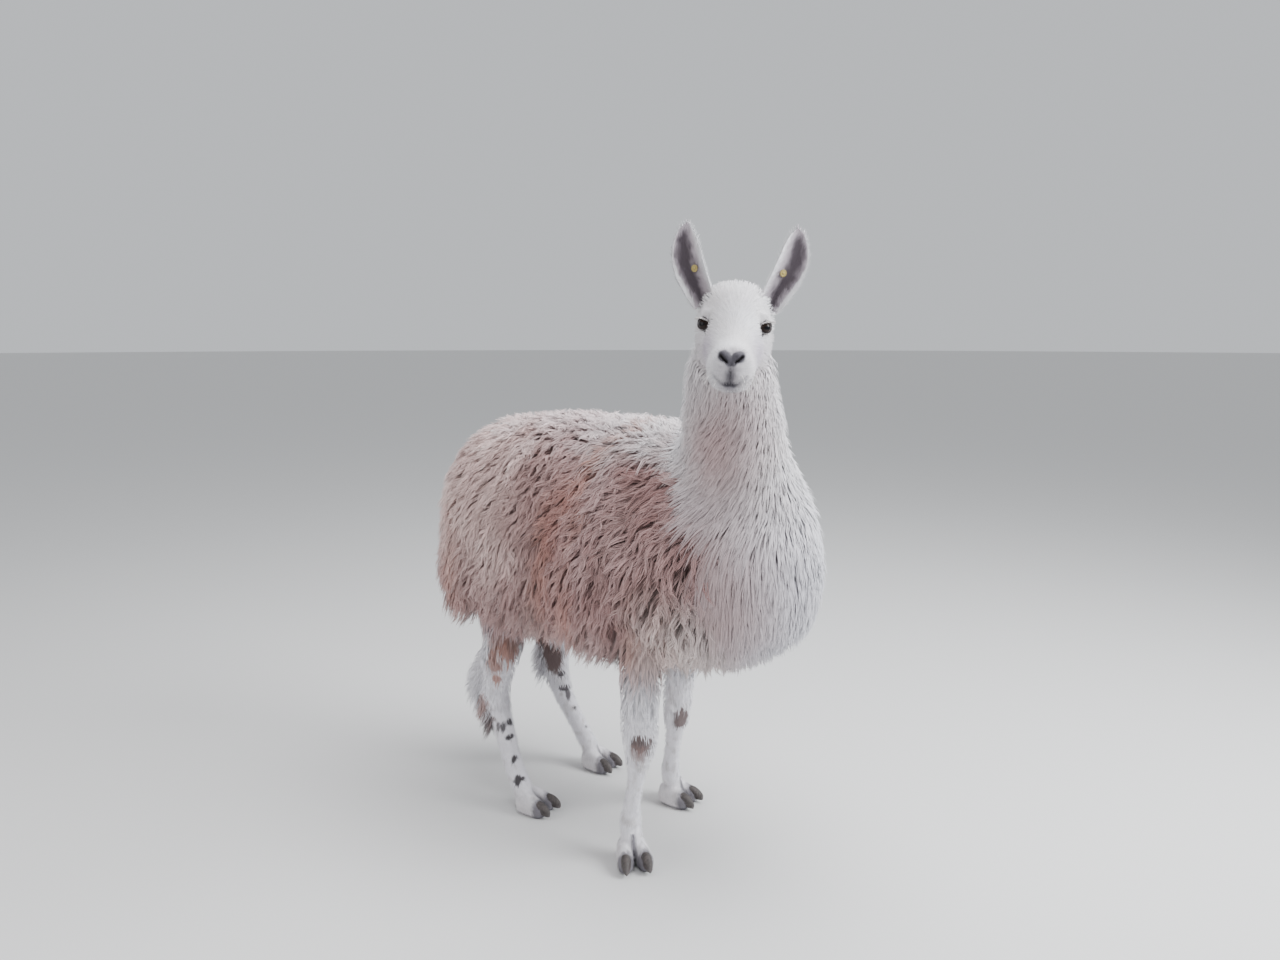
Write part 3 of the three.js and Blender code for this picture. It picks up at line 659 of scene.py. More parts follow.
def sculpt_head(points, faces):
    """Eyes, brow, nostrils, split lip, mouth and cheeks, as moves along the surface."""
    x, y, z = points.T
    front = ease(x, 140, 168)
    width = np.abs(y)
    move = np.zeros(len(points))
    # nose leather: two lobes with a notch between them and a shelf under each nostril
    lobe = bell((width, 15, 10), (z, -54, 9))
    notch = bell((width, 0, 4.5), (z, -49, 9))
    shelf = bell((width, 13, 9), (z, -76, 5))
    move += front * (4.6 * lobe - 2.6 * notch + 1.6 * shelf)
    gap, spot = line_gap(width, z, NOSTRIL_LINE)
    move -= front * (8.5 * np.exp(-((gap / (1.9 + 0.9 * (1 - spot))) ** 2.4)))
    gap, spot = line_gap(width, z, PHILTRUM)
    move -= front * 3.2 * bell((gap, 0, 1.7)) * (0.6 + 0.4 * spot)
    # lips: soft pads either side of the split, a mouth line, the lower lip and the chin
    move += front * 3.4 * bell((width, 15, 12), (z, -97, 12))
    gap, spot = line_gap(width, z, MOUTH_LINE)
    move -= ease(x, 96, 140) * 5.5 * bell((gap, 0, 1.8)) * (1 - 0.6 * spot)
    move += front * 2.6 * bell((width, 0, 20), (z, -124, 6))
    move -= ease(x, 120, 160) * 1.6 * bell((z, -133, 3.5), (width, 0, 24))
    # muzzle pinched behind the nostrils
    move -= 3.4 * (bell((x, 132, 22), (z, -62, 22)) * ease(width, 24, 42))
    # crest of the cheek and the hollow under it
    over_crest = z - (-22 - 0.42 * (x - 5))
    crest = bell((over_crest, 0, 8)) * ease(width, 36, 52)
    move += 2.8 * crest * ease(x, 2, 28) * (1 - ease(x, 80, 120))
    hollow = bell((over_crest, -22, 13)) * ease(width, 28, 48)
    move -= 2.2 * hollow * ease(x, 20, 50) * (1 - ease(x, 90, 130))
    # trough ahead of the eye, brow over it and bridge of the nose
    move -= 6.0 * (bell((x, 31, 13), (z, -1, 15)) * ease(width, 38, 56))
    move += 4.0 * (bell((x, 4, 20), (z, 27, 9)) * ease(width, 34, 55))
    bridge = bell((width, 0, 17)) * ease(z, -60, -10) * ease(x, 30, 60)
    move += 2.0 * bridge * (1 - ease(x, 150, 175))
    return carve_eyes(points + point_normals(points, faces) * move[:, None])


def build_shells():
    """Every piece of flesh as a shell, with its coat's depth at each point."""
    trunk = Body(TRUNK, LEFT, caps=(240, 80), sink=(50, 56), square=(2.15, 4.2))
    front = Body(FRONT, -LEFT, UP, caps=(80, 50), sink=(80, 24), square=(2.1, 2.1))
    tail = Body(TAIL, LEFT, caps=(0, 34), sink=(0, 30))
    head = Body(HEAD, LEFT, AHEAD, caps=(40, 26), sink=(18, 4), square=(2.25, 2.4))
    shells = {
        "trunk": body_shell(trunk, 17, 108, cap_rings=16),
        "front": body_shell(front, 13, 88, cap_rings=10),
        "tail": body_shell(tail, 10, 30, cap_rings=6),
        "head": body_shell(head, 4, 156, crowd=0.42, spots=head_spots(head)),
    }
    face = shells["head"]
    face.skin = sculpt_head(face.skin, face.faces)
    face.moved(HEAD_PLACE)
    for sign, side in SIDES:
        shells["ear_" + side] = ear_shell(sign).moved(HEAD_PLACE)
    for name in LEGS:
        shells["leg_" + name] = body_shell(Body(leg_rows(name), LEFT), 4.2, 52)
        for sign, side in SIDES:
            toe = Body(TOE, LEFT, caps=(14, 12), sink=(2, 2), square=(2, 2.6))
            toe = body_shell(toe, 3.4, 36).moved(toe_place(name, sign))
            shells["toe_%s_%s" % (name, side)] = toe
    return shells


SHELLS = build_shells()


def remeshed_leg(name):
    """Leg and toes run into one smooth shape, flat under the soles."""
    points, faces, start = [], [], 0
    for part in ("leg_" + name, "toe_%s_right" % name, "toe_%s_left" % name):
        points.append(SHELLS[part].skin)
        faces.append(SHELLS[part].faces + start)
        start += len(SHELLS[part].skin)
    leg = new_object("leg", mesh_of("leg", place(np.concatenate(points)), np.concatenate(faces)))
    remesh = leg.modifiers.new("even", "REMESH")
    remesh.mode, remesh.voxel_size = "VOXEL", LEG_VOXEL
    soften = leg.modifiers.new("soften", "SMOOTH")
    soften.factor, soften.iterations = 0.6, 4
    settle(leg)
    points = read_points(leg.data)
    points[:, 2] = np.maximum(points[:, 2], SOLE_HEIGHT)
    leg.data.vertices.foreach_set("co", points.astype(np.float32).ravel())
    return leg


def joined_skin():
    """All the flesh as one closed skin, piece joined to piece."""
    whole = None
    for name in ("trunk", "front", "tail", "head", "ear_right", "ear_left"):
        shell = SHELLS[name]
        piece = new_object(name, mesh_of(name, place(shell.skin), shell.faces))
        whole = piece if whole is None else merged(whole, piece)
    for name in LEGS:
        whole = merged(whole, remeshed_leg(name))
    whole.name = whole.data.name = "skin"
    return whole


def merged(whole, piece):
    boolean = whole.modifiers.new("join", "BOOLEAN")
    boolean.operation, boolean.solver, boolean.object = "UNION", "MANIFOLD", piece
    settle(whole)
    bpy.data.objects.remove(piece)
    return whole


def largest_body(obj):
    """Drops the hollows that the joined shells leave inside one another."""
    points, faces = read_points(obj.data), read_faces(obj.data)
    label = np.arange(len(points))
    while True:
        lowest = label[faces].min(1)
        after = label.copy()
        for k in range(3):
            np.minimum.at(after, faces[:, k], lowest)
        after = after[after]
        if (after == label).all():
            break
        label = after
    names, counts = np.unique(label, return_counts=True)
    biggest = names[counts.argmax()]
    faces = faces[label[faces[:, 0]] == biggest]
    used = np.unique(faces)
    renumber = np.zeros(len(points), int)
    renumber[used] = np.arange(len(used))
    obj.data = mesh_of(obj.name, points[used], renumber[faces])
    return obj


skin = largest_body(joined_skin())
skin_points = unplace(read_points(skin.data))
skin_faces = read_faces(skin.data)
skin_normals = point_normals(skin_points, skin_faces)


def shell_facts():
    """Which shell each point of the skin comes from, and the depth of coat there."""
    shells = SHELLS.values()
    owner = np.repeat(np.arange(len(shells)), [len(shell.skin) for shell in shells])
    depth = np.concatenate([np.linalg.norm(s.tips - s.skin, axis=1) for s in shells])
    tree = KDTree(len(owner))
    for i, point in enumerate(np.concatenate([shell.skin for shell in shells])):
        tree.insert(point, i)
    tree.balance()
    closest = np.array([tree.find(point)[1] for point in skin_points])
    return owner[closest], depth[closest]


SHELL_NAMES = list(SHELLS)
skin_owner, skin_depth = shell_facts()
# How far from the middle of an eyeball the coat starts to deepen, and where it is full.
EYE_BARE, EYE_FURRED = 34, 84
for sign in (-1, 1):
    away = np.linalg.norm(in_head(skin_points) - LID_SIDES[sign][0], axis=1)
    shallow = 2.0 + 22 * ease(away, EYE_BARE, EYE_FURRED)
    skin_depth = np.where(away < EYE_FURRED, np.minimum(skin_depth, shallow), skin_depth)

# ------------------------------------------------------------------ colours of skin and coat, with painted shade and painted sky light
# Basic dyes of hair and hide; the slight blue of WHITE is painted sky light.
WHITE, CREAM, FAWN, UMBER, RUST, SOOT, LEATHER, DUST = np.array([
    (0.81, 0.80, 0.83), (0.60, 0.415, 0.405), (0.345, 0.195, 0.185), (0.30, 0.195, 0.18),
    (0.27, 0.115, 0.08), (0.045, 0.038, 0.042), (0.055, 0.05, 0.062), (0.47, 0.42, 0.385),
])
# Places on the fleece.
RUMP_CREAM, BACK_CREAM, WITHERS_WHITE, FADED_FAWN = np.array([
    (0.80, 0.61, 0.575), (0.72, 0.63, 0.64), (0.80, 0.76, 0.77), (0.76, 0.66, 0.63),
])
# Places on the white hair of neck, chest, legs and head; some are painted shade and painted sky
# light, as named.
NECK_TAN_AND_SHADOW, CHEST_TAN, CHEST_PAINTED_SHADE, LEG_WHITE_AND_SKY_LIGHT = np.array([
    (0.46, 0.325, 0.325), (0.47, 0.335, 0.33), (0.61, 0.605, 0.67), (0.86, 0.85, 0.92),
])
CHEEK_PAINTED_SHADE, FACE_GREY_AND_SHADE, EAR_PINK, EAR_DARK = np.array([
    (0.50, 0.43, 0.53), (0.34, 0.31, 0.335), (0.44, 0.37, 0.42), (0.07, 0.053, 0.066),
])
SHADED = np.array([0.93, 0.9, 0.88])  # what soft shading leaves of the white
EYE_WHITE, EYE_BROWN, EYE_BLACK, HORN = np.array([
    (0.06, 0.045, 0.042), (0.020, 0.012, 0.010), (0.004, 0.004, 0.006), (0.062, 0.052, 0.05),
])

# x, y, z, reach along x, y and z, colour, how strong
PATCHES = [
    (-421, -195, 492, 30, 40, 42, RUST * 1.3, 0.85),
    (-471, -217, 455, 24, 34, 46, RUST * 1.2, 0.8),
    (-440, -206, 528, 34, 40, 26, RUST * 1.1, 0.6), (-476, -203, 391, 10, 16, 9, RUST * 1.5, 0.8),
    (-403, -175, 529, 40, 44, 34, UMBER * 0.6, 0.7),
    (-534, -184, 250, 40, 36, 36, UMBER * 0.62, 0.92),
    (-540, -176, 306, 26, 32, 26, RUST * 1.3, 0.7), (-526, -186, 256, 16, 22, 20, SOOT * 2.5, 0.6),
    (-448, -168, 259, 7, 12, 10, SOOT, 0.95), (-457, -195, 246, 6, 10, 13, SOOT, 0.9),
    (-474, -196, 240, 5, 9, 10, SOOT * 2, 0.8), (-432, -182, 217, 9, 12, 6, SOOT, 0.95),
    (-439, -192, 212, 6, 9, 5, SOOT, 0.9), (-411, -193, 157, 5, 11, 10, SOOT, 0.97),
    (-386, -199, 98, 6, 11, 12, SOOT, 0.97), (-377, -187, 103, 4, 8, 4, SOOT, 0.95),
    (-398, -203, 92, 3, 6, 3, SOOT, 0.9), (-549, 42, 446, 44, 30, 44, UMBER * 0.42, 0.95),
    (-512, 54, 394, 36, 34, 50, UMBER * 0.42, 0.95), (-545, 60, 470, 20, 30, 14, RUST, 0.5),
    (-488, 77, 333, 8, 10, 7, SOOT * 1.6, 0.95), (-485, 82, 284, 12, 16, 8, SOOT * 1.6, 0.95),
    (-479, 93, 262, 5, 9, 18, SOOT * 1.8, 0.9), (-468, 114, 212, 5, 8, 4, SOOT, 0.95),
    (-458, 122, 206, 4, 6, 4, SOOT, 0.9), (-451, 151, 144, 4, 7, 6, SOOT, 0.95),
    (127, -201, 364, 26, 34, 24, UMBER * 0.36, 0.92), (112, -196, 340, 20, 26, 22, UMBER, 0.6),
    (3, 99, 314, 24, 24, 26, UMBER * 0.45, 0.9), (34, 101, 479, 22, 22, 17, DUST * 0.55, 0.6),
    (-540, 160, 430, 20, 20, 26, UMBER * 0.7, 0.8), (-470, 150, 250, 8, 12, 12, SOOT, 0.9),
    (-440, -120, 200, 7, 10, 10, SOOT, 0.9), (-20, 160, 380, 14, 14, 12, UMBER, 0.7),
    (88, -130, 300, 12, 14, 12, UMBER, 0.7), (-590, -150, 470, 30, 40, 30, RUST * 1.2, 0.5),
]
# x, z of a smear on both flanks, its length, width, lean, colour and strength
SMEARS = [
    (-23, 1119, 120, 26, 0.75, RUST * 1.5, 0.55), (-60, 1040, 130, 22, 0.55, RUST * 1.6, 0.45),
    (-53, 948, 90, 14, 0.35, RUST * 1.3, 0.6), (-175, 850, 190, 30, 0.22, RUST * 1.7, 0.5),
    (-240, 720, 170, 34, 0.12, UMBER, 0.5), (186, 780, 110, 26, 0.3, UMBER * 0.9, 0.45),
    (90, 930, 200, 30, 0.5, UMBER, 0.4), (-105, 727, 120, 30, 0.15, RUST * 1.8, 0.4),
    (120, 640, 130, 26, 0.12, RUST * 1.6, 0.5), (215, 690, 120, 22, 0.1, RUST * 2.0, 0.45),
    (-330, 960, 170, 24, 0.3, UMBER, 0.4), (-470, 860, 210, 26, 0.2, UMBER * 1.1, 0.4),
    (-600, 760, 170, 30, 0.1, RUST * 1.9, 0.35), (-380, 640, 130, 50, 0.05, UMBER * 0.8, 0.5),
    (-700, 1000, 150, 26, 0.2, UMBER, 0.4), (-440, 1080, 120, 22, 0.5, UMBER, 0.35),
]


def bib_edge(z):
    """How far forwards the fawn fleece comes at a height."""
    return np.interp(z, [540, 648, 802, 959, 1102, 1200, 1320], [300, 312, 334, 320, 270, 186, 44])


def fleece_colour(points):
    """Mottled fawn and cream, paler over the back and rump, with dark flecks and smears."""
    x, y, z = points.T
    broad = noise(points, (150, 150, 190), 3)
    medium = noise(points, (46, 46, 70), 5)
    fine = noise(points, (15, 15, 26), 7)
    dye = mix(FAWN, CREAM, np.clip(0.31 + 0.26 * broad + 0.4 * medium + 0.38 * fine, 0, 1))
    dye = mix(dye, CREAM, 0.24 * ease(z, 860, 640) * (1 - ease(x, -200, 120)))
    rump = ease(x, -160, -440) * ease(z, 600, 900)
    dye = mix(dye, RUMP_CREAM, 0.88 * rump * (0.8 + 0.4 * medium))
    ragged_height = z + 30 * medium
    top = ease(ragged_height, 1105, 1185)
    dye = mix(dye, BACK_CREAM, 0.72 * top)
    dye = mix(dye, WITHERS_WHITE, 0.75 * (ease(x, -220, 0) * ease(ragged_height, 1060, 1140)))
    dark = np.clip(noise(points, (60, 60, 230), 11) - 0.12, 0, 1)
    dye = mix(dye, UMBER * 1.25, np.clip(0.85 * dark * (1 - top), 0, 0.6))
    fleck = np.clip(noise(points, (13, 13, 20), 13) - 0.55, 0, 1) * 2.2
    dye = mix(dye, UMBER, np.clip(fleck, 0, 0.7) * 0.7)
    wander = 14 * noise(points, 70, 17)
    for sx, sz, length, width, lean, colour, strength in SMEARS:
        up = z - sz
        near = bell((up, 0, length), ((x - sx) - lean * up + wander, 0, width))
        dye = mix(dye, colour, strength * near * (0.75 + 0.25 * np.sign(-y)))
    return dye


def body_colour(points):
    """White hair with tan and painted shade on neck and chest and painted sky light on the legs,
    giving way to fleece behind the bib.
    """
    x, y, z = points.T
    medium = noise(points, (50, 50, 60), 23)
    dye = mix(WHITE, WHITE * SHADED, np.clip(0.4 + 0.5 * medium, 0, 1))
    # partly a tan stain, partly painted shadow under the head
    dye = mix(dye, NECK_TAN_AND_SHADOW, 0.95 * bell((x, 392, 95), (y, -192, 88), (z, 1205, 165)))
    # painted shade: bluish grey over the white hair, deepening from the throat down the chest
    dye = mix(dye, CHEST_PAINTED_SHADE, 0.75 * ease(z, 1180, 900) * ease(z, 470, 560))
    dye = mix(dye, CHEST_TAN, 0.86 * bell((x, 368, 125), (y, -168, 105), (z, 900, 260)))
    legs = ease(z, 560, 470)
    # white leg hair, brightened and blued as painted sky light
    dye = mix(dye, LEG_WHITE_AND_SKY_LIGHT, 0.8 * legs)
    dye = mix(dye, DUST * 1.35, 0.12 * legs + 0.26 * ease(z, 110, 20))
    grime = np.clip(noise(points, (16, 16, 24), 29) - 0.25, 0, 1)
    dye = mix(dye, DUST * 0.75, 0.75 * grime * legs)
    edge = bib_edge(z) + 26 * medium + 12 * noise(points, (18, 18, 40), 31)
    blur = 26 + 40 * ease(z, 900, 700)
    wool = ease(x, edge + blur, edge - blur) * ease(z, 500, 610)
    wool = np.maximum(wool, ease(x, -610, -660) * ease(z, 480, 560))
    fade = ease(x + 40 * medium, edge - 280, edge - 20) * ease(z, 900, 720)
    return mix(dye, mix(fleece_colour(points), FADED_FAWN, 0.85 * fade), wool), wool


def add_patches(points, dye):
    """Stains on the legs; the small ones are sharp spots, drawn larger and rounder."""
    wobble = 0.28 * noise(points, 14, 37) + 0.14 * noise(points, 6, 41)
    for px, py, pz, rx, ry, rz, colour, strength in PATCHES:
        spot = max(rx, rz) < 20
        grow, lift, rough = (1.5, 4.0, 0.5) if spot else (1.12, 6.0, 1.0)
        away = (points - (px, py, pz) - (0, 0, lift)) / (rx, ry, rz)
        near = np.sqrt((away**2).sum(1)) / grow + wobble * rough
        dye = mix(dye, colour, strength * ease(near, 1.22, 0.8))
    return dye


def face_colour(points, dye):
    """Nose leather, lips, lids and the tear line, with painted shade on the muzzle, the cheeks and
    round the eyes.
    """
    q = in_head(points)
    x, y, z = q.T
    width = np.abs(y)
    here = (x > -120) & (width < 160) & (z > -150) & (z < 260) & (points[:, 2] > HEAD_BOTTOM)
    ragged = noise(points, 5, 43)

    def paint(colour, share):
        nonlocal dye
        dye = mix(dye, colour, share * here)

    # grey over the front of the muzzle, partly grey hair and partly painted shade
    paint(FACE_GREY_AND_SHADE * 1.1, 0.72 * (ease(x, 128, 176) * ease(z, -22, -48)) * bell((width, 0, 38)))
    paint(LEATHER * 1.3, 0.75 * (bell((width, 0, 12), (z, -97, 14)) * ease(x, 150, 168)))
    nose = nose_reach(width, z) + 0.07 * ragged
    paint(LEATHER, 0.985 * ease(nose, 1.28, 0.85) * ease(x, 148, 166))
    # painted shade inside the nostril slits, darker than the leather
    gap, _ = line_gap(width, z, NOSTRIL_LINE)
    paint(SOOT * 0.35, 0.9 * ease(gap, 5.5, 1.5) * ease(x, 150, 168))
    # dark leather down the philtrum and along the mouth; along the mouth it is partly dark lip and
    # partly painted shade in the crease
    for path, wide, strong, fading in ((PHILTRUM, 9.0, 0.45, 0.0), (MOUTH_LINE, 6.0, 0.97, 0.85)):
        gap, spot = line_gap(width, z, path)
        line = ease(gap + ragged, wide * 1.5, wide * 0.4) * ease(x, 110, 150)
        paint(LEATHER, strong * line * (1 - fading * ease(spot, 0.2, 0.75)))
    paint(LEATHER * 2.2, 0.55 * (bell((width, 0, 14), (z, -124, 5)) * ease(x, 150, 170)))
    # painted shade: mauve grey on the cheeks below the eyes
    paint(CHEEK_PAINTED_SHADE, 0.75 * (bell((x, 66, 52), (z, -50, 30)) * ease(width, 24, 44)))
    for sign in (-1, 1):
        reach, radius, _, a, b = eye_reach(q, sign)
        close = radius < 46
        inner = ease(a, 0, 12) * ease(b, -1, 5)
        # grey round the eye, partly grey skin and partly painted shade of the socket and lashes
        shade = ease(reach + 0.1 * ragged, 1.7, 1.25) * close
        paint(FACE_GREY_AND_SHADE * 0.6, (0.6 - 0.5 * inner) * shade)
        reach = reach + 0.34 * inner - 0.4 * ease(a, 4, 20) * (1 - inner)
        paint(SOOT * 0.7, 0.96 * ease(reach + 0.06 * ragged, 1.6, 1.35) * close)
        tear = bell((b + 2.5 + (a - 17) * 0.2, 0, 4.4)) * ease(a, 12, 18) * ease(a, 42, 22)
        paint(SOOT * 2, 0.75 * tear * close)
    return dye


def ear_colour(points, dye, owners):
    """Pink inside the ears, dark down the middle of the hollow."""
    q = in_head(points)
    for sign, side in SIDES:
        own = owners == SHELL_NAMES.index("ear_" + side)
        if not own.any():
            continue
        p = q[own]
        t = up_ear(sign, p)
        along, _, sideways = ear_frame(sign, t)
        values, _, outer, hollow = ear_rings(sign, t)
        across = ((p - values[:, :3]) * sideways).sum(1) / (values[:, 3] / 2)
        across = np.abs(across * np.sign(sideways[:, 1] * sign) - 0.2)
        radial = p - hollow
        radial -= along * (radial * along).sum(1, keepdims=True)
        inside = np.linalg.norm(radial, axis=1) < outer - EAR_THICKNESS * values[:, 5] * 0.52
        limit = np.interp(t, [0.1, 0.25, 0.5, 0.8, 0.95], [0.34, 0.44, 0.52, 0.44, 0.0])
        dark = inside * ease(across + 0.2 * noise(p, (7, 7, 12), 47), limit + 0.32, limit - 0.3)
        shade = mix(dye[own], EAR_PINK, 0.8 * inside * ease(across, 1.15, 0.7))
        dye[own] = mix(shade, EAR_DARK, 0.92 * (dark * ease(t, 0.9, 0.74)))
    return dye


def toe_colour(points, dye):
    """Grey round the nails and in the cleft, where short fur thins out on the toes."""
    ragged = noise(points, 6, 53)
    low = points[:, 2] < 90
    for name in LEGS:
        for sign in (-1, 1):
            x, y, _ = apply_matrix(toe_place(name, sign).inverted(), points).T
            near = low & (np.abs(y) < 26) & (x > -60) & (x < 90)
            tip = ease(x + 5 * ragged, 12, 34) * 0.85
            cleft = ease(-sign * y, 13, 19) * ease(x, -14, 6) * 0.7
            dye = mix(dye, LEATHER * 1.9, np.maximum(tip, cleft) * near)
    return dye


def markings_and_painted_light(points, owners):
    """The one set of colours that skin and coat share, by place on the body, painted shade and sky
    light among them.
    """
    dye, wool = body_colour(points)
    dye = face_colour(points, add_patches(points, dye))
    dye = toe_colour(points, ear_colour(points, dye, owners))
    pads = ease(points[:, 2], 9, 4)
    return mix(dye, LEATHER * 1.5, 0.8 * pads), wool


skin_dye, skin_wool = markings_and_painted_light(skin_points, skin_owner)


def leather_share():
    """Where the skin is bare and moist: nose, lips and the edges of the lids."""
    q = in_head(skin_points)
    x, y, z = q.T
    width = np.abs(y)
    share = ease(nose_reach(width, z), 1.08, 0.92) * ease(x, 150, 168)
    gap, _ = line_gap(width, z, MOUTH_LINE[:3])
    share = np.maximum(share, ease(gap, 5, 2) * ease(x, 140, 160))
    for sign in (-1, 1):
        reach, radius, _, _, _ = eye_reach(q, sign)
        share = np.maximum(share, ease(reach, 1.3, 1.1) * (radius < 40))
    return share * (skin_points[:, 2] > HEAD_BOTTOM)


skin_bare = leather_share()
write_dye(skin.data, skin_dye)
write_layer(skin.data, "bare", "FLOAT", skin_bare)


def unwrap(obj):
    """Unrolls the skin on its own shape, for the coat's patches to find their roots on."""
    bpy.context.view_layer.objects.active = obj
    obj.select_set(True)
    obj.data.uv_layers.new(name="OFBake")
    bpy.ops.object.mode_set(mode="EDIT")
    bpy.ops.mesh.select_all(action="SELECT")
    bpy.ops.uv.smart_project(angle_limit=math.radians(60), island_margin=0.002)
    bpy.ops.object.mode_set(mode="OBJECT")
    uv = np.empty(len(obj.data.loops) * 2, np.float32)
    obj.data.uv_layers["OFBake"].data.foreach_get("uv", uv)
    return uv.reshape(-1, 3, 2).astype(float)


skin_uv = unwrap(skin)
round_shaded(skin.data)

# ------------------------------------------------------------------ coat
tree = BVHTree.FromPolygons(skin_points.tolist(), skin_faces.tolist())
face_normals = unit(skin_normals[skin_faces].sum(1))
face_depth = skin_depth[skin_faces].mean(1)
corner_a, corner_b, corner_c = (skin_points[skin_faces[:, k]] for k in range(3))
face_area = np.linalg.norm(np.cross(corner_b - corner_a, corner_c - corner_a), axis=1) / 2
face_middle = skin_points[skin_faces].mean(1)
face_owner = skin_owner[skin_faces[:, 0]]
face_wool = skin_wool[skin_faces].mean(1)
face_bare = skin_bare[skin_faces].max(1)


def nearest(points):
    """Foot on the skin, and the face it lies on, for each point."""
    feet = np.empty_like(points)
    faces = np.empty(len(points), int)
    for i, point in enumerate(points.tolist()):
        foot, _, face, _ = tree.find_nearest(point)
        feet[i] = foot
        faces[i] = face
    return feet, faces


def scatter(chosen, spacing, seed):
    """Roots spread over the chosen faces about one spacing apart."""
    rng = np.random.default_rng(seed)
    area = face_area * chosen
    tries = int(area.sum() / spacing**2 * 4)
    ids = rng.choice(len(area), tries, p=area / area.sum())
    a, b = rng.random((2, tries))
    flip = a + b > 1
    a[flip], b[flip] = 1 - a[flip], 1 - b[flip]
    share = np.stack([1 - a - b, a, b], 1)
    points = (skin_points[skin_faces[ids]] * share[..., None]).sum(1)
    # one root is kept in each cell of a grid
    cell = np.floor(points / (spacing * 1.08)).astype(np.int64)
    _, first = np.unique(cell_key(*cell.T), return_index=True)
    first.sort()
    corners, share = skin_faces[ids[first]], share[first][..., None]
    blend = lambda values: (values[corners] * share).sum(1)
    return {
        "root": points[first],
        "normal": unit(blend(skin_normals)),
        "dye": blend(skin_dye),
        "wool": blend(skin_wool[:, None])[:, 0],
        "uv": (skin_uv[ids[first]] * share).sum(1),
    }


def body_lie(points, normals):
    """Which way the coat lies on the trunk, chest, neck and tail."""
    x, _, z = points.T
    back = 0.22 + 0.62 * ease(x, -260, 120) * ease(z, 760, 1040) * ease(z, 1290, 1170)
    back = back * (1 - ease(x, 60, 240) * ease(z, 1000, 760))
    out = 0.25 * ease(z, 700, 560)
    lie = np.stack([-back, np.zeros_like(x), -np.ones_like(x)], 1)
    return unit(lie + normals * out[:, None] * [1, 1, 0])


def head_lie(points, normals):
    """Backwards over the face, down over the jaw, and straight down the front of the lips."""
    x, y, z = in_head(points).T
    width, ones = np.abs(y), np.ones_like(x)
    side = np.sign(y) * ease(width, 10, 50)
    crown = ease(x, 60, -10) * ease(z, 10, 50)
    low = ease(z, -30, -80)
    jaw = ease(x, 150, 60)
    upward = 0.25 * crown - 0.55 * low * jaw - 0.3 * ease(width, 40, 60)
    way = np.stack([-ones, side * 0.35, upward], 1)
    lips = ease(x, 162, 178) * ease(z, -80, -100)
    way = mix(way, np.stack([-0.1 * ones, side * 0.8, -ones], 1), lips)
    return unit(way @ HEAD_AXES.T)


def ear_lie(points, normals):
    """Up along each ear's axis and a little off its skin."""
    q = in_head(points)
    way = np.zeros_like(points)
    for sign in (-1, 1):
        mine = np.sign(q[:, 1]) == sign
        way[mine] = ear_frame(sign, up_ear(sign, q))[0][mine]
    return unit(unit(way @ HEAD_AXES.T) + 0.5 * normals)


def leg_lie(points, normals):
    """Down the legs, forwards over the toes and backwards off the hocks."""
    x, _, z = points.T
    forward = 0.9 * ease(z, 70, 25)
    hind = x < -300
    back = 0.5 * ease(np.abs(z - 360), 60, 0) * hind * np.clip(-normals[:, 0], 0, 1)
    return unit(np.stack([forward - back, np.zeros_like(x), -(1 - 0.5 * forward)], 1))


def tuft_lie(points, normals):
    return unit(leg_lie(points, normals) + 0.4 * normals)


def turned(lie, normals, angle):
    """Directions laid in the surface and swung about its normal."""
    c, s = np.cos(angle)[:, None], np.sin(angle)[:, None]
    return lie * c + np.cross(normals, lie) * s


def grow_locks(roots, lie, length, cling, swing, rise=0.2, stages=7, spread=0.12, uneven=0.26):
    """Marches each lock out from its root, lifted to its share of the coat's depth.

    cling is how hard a lock is drawn back to that depth, swing how far it turns from the lie,
    and rise the share of its length in which it climbs most of the way.
    Returns the path points and the outward direction at each, lock by lock.
    """
    root, normal = roots["root"], roots["normal"]
    count = len(root)
    rng = np.random.default_rng(count)
    layer = 1 - uneven * rng.random(count)
    angle = swing * (
        0.55 * noise(root, 120, 61) + 0.55 * noise(root, 34, 67) + 0.35 * rng.normal(size=count)
    )
    length = length * (1 + spread * rng.normal(size=count)).clip(0.6, 1.5)
    point, path, facing = root, [root], [normal]
    for stage in range(1, stages + 1):
        way = turned(lie(point, normal), normal, angle)
        sink = np.minimum((way * normal).sum(1), 0)
        way = unit(way - normal * sink[:, None])
        point = point + way * (length / stages)[:, None]
        foot, face = nearest(point)
        normal = face_normals[face]
        wanted = face_depth[face] * layer * (1 - math.exp(-(stage / stages) / rise))
        height = ((point - foot) * normal).sum(1)
        push = np.maximum(wanted - height, 0)
        pull = np.maximum(height - wanted, 0) * cling(point)
        point = point + normal * (push - pull)[:, None]
        path.append(point)
        facing.append(normal)
    return np.stack(path, 1), np.stack(facing, 1)


def along_path(path, share):
    """Points at shares from 0 to 1 of each path; share is one row, or one row per path."""
    last = path.shape[1] - 1
    at = np.clip(np.broadcast_to(share, (len(path), np.shape(share)[-1])), 0, 1) * last
    i = np.minimum(at.astype(int), last - 1)
    u = (at - i)[..., None]
    row = np.arange(len(path))[:, None]
    a, b, c, d = (path[row, np.clip(i + k, 0, last)] for k in (-1, 0, 1, 2))
    return b + 0.5 * u * (c - a + u * (2 * a - 5 * b + 4 * c - d + u * (3 * (b - c) + d - a)))


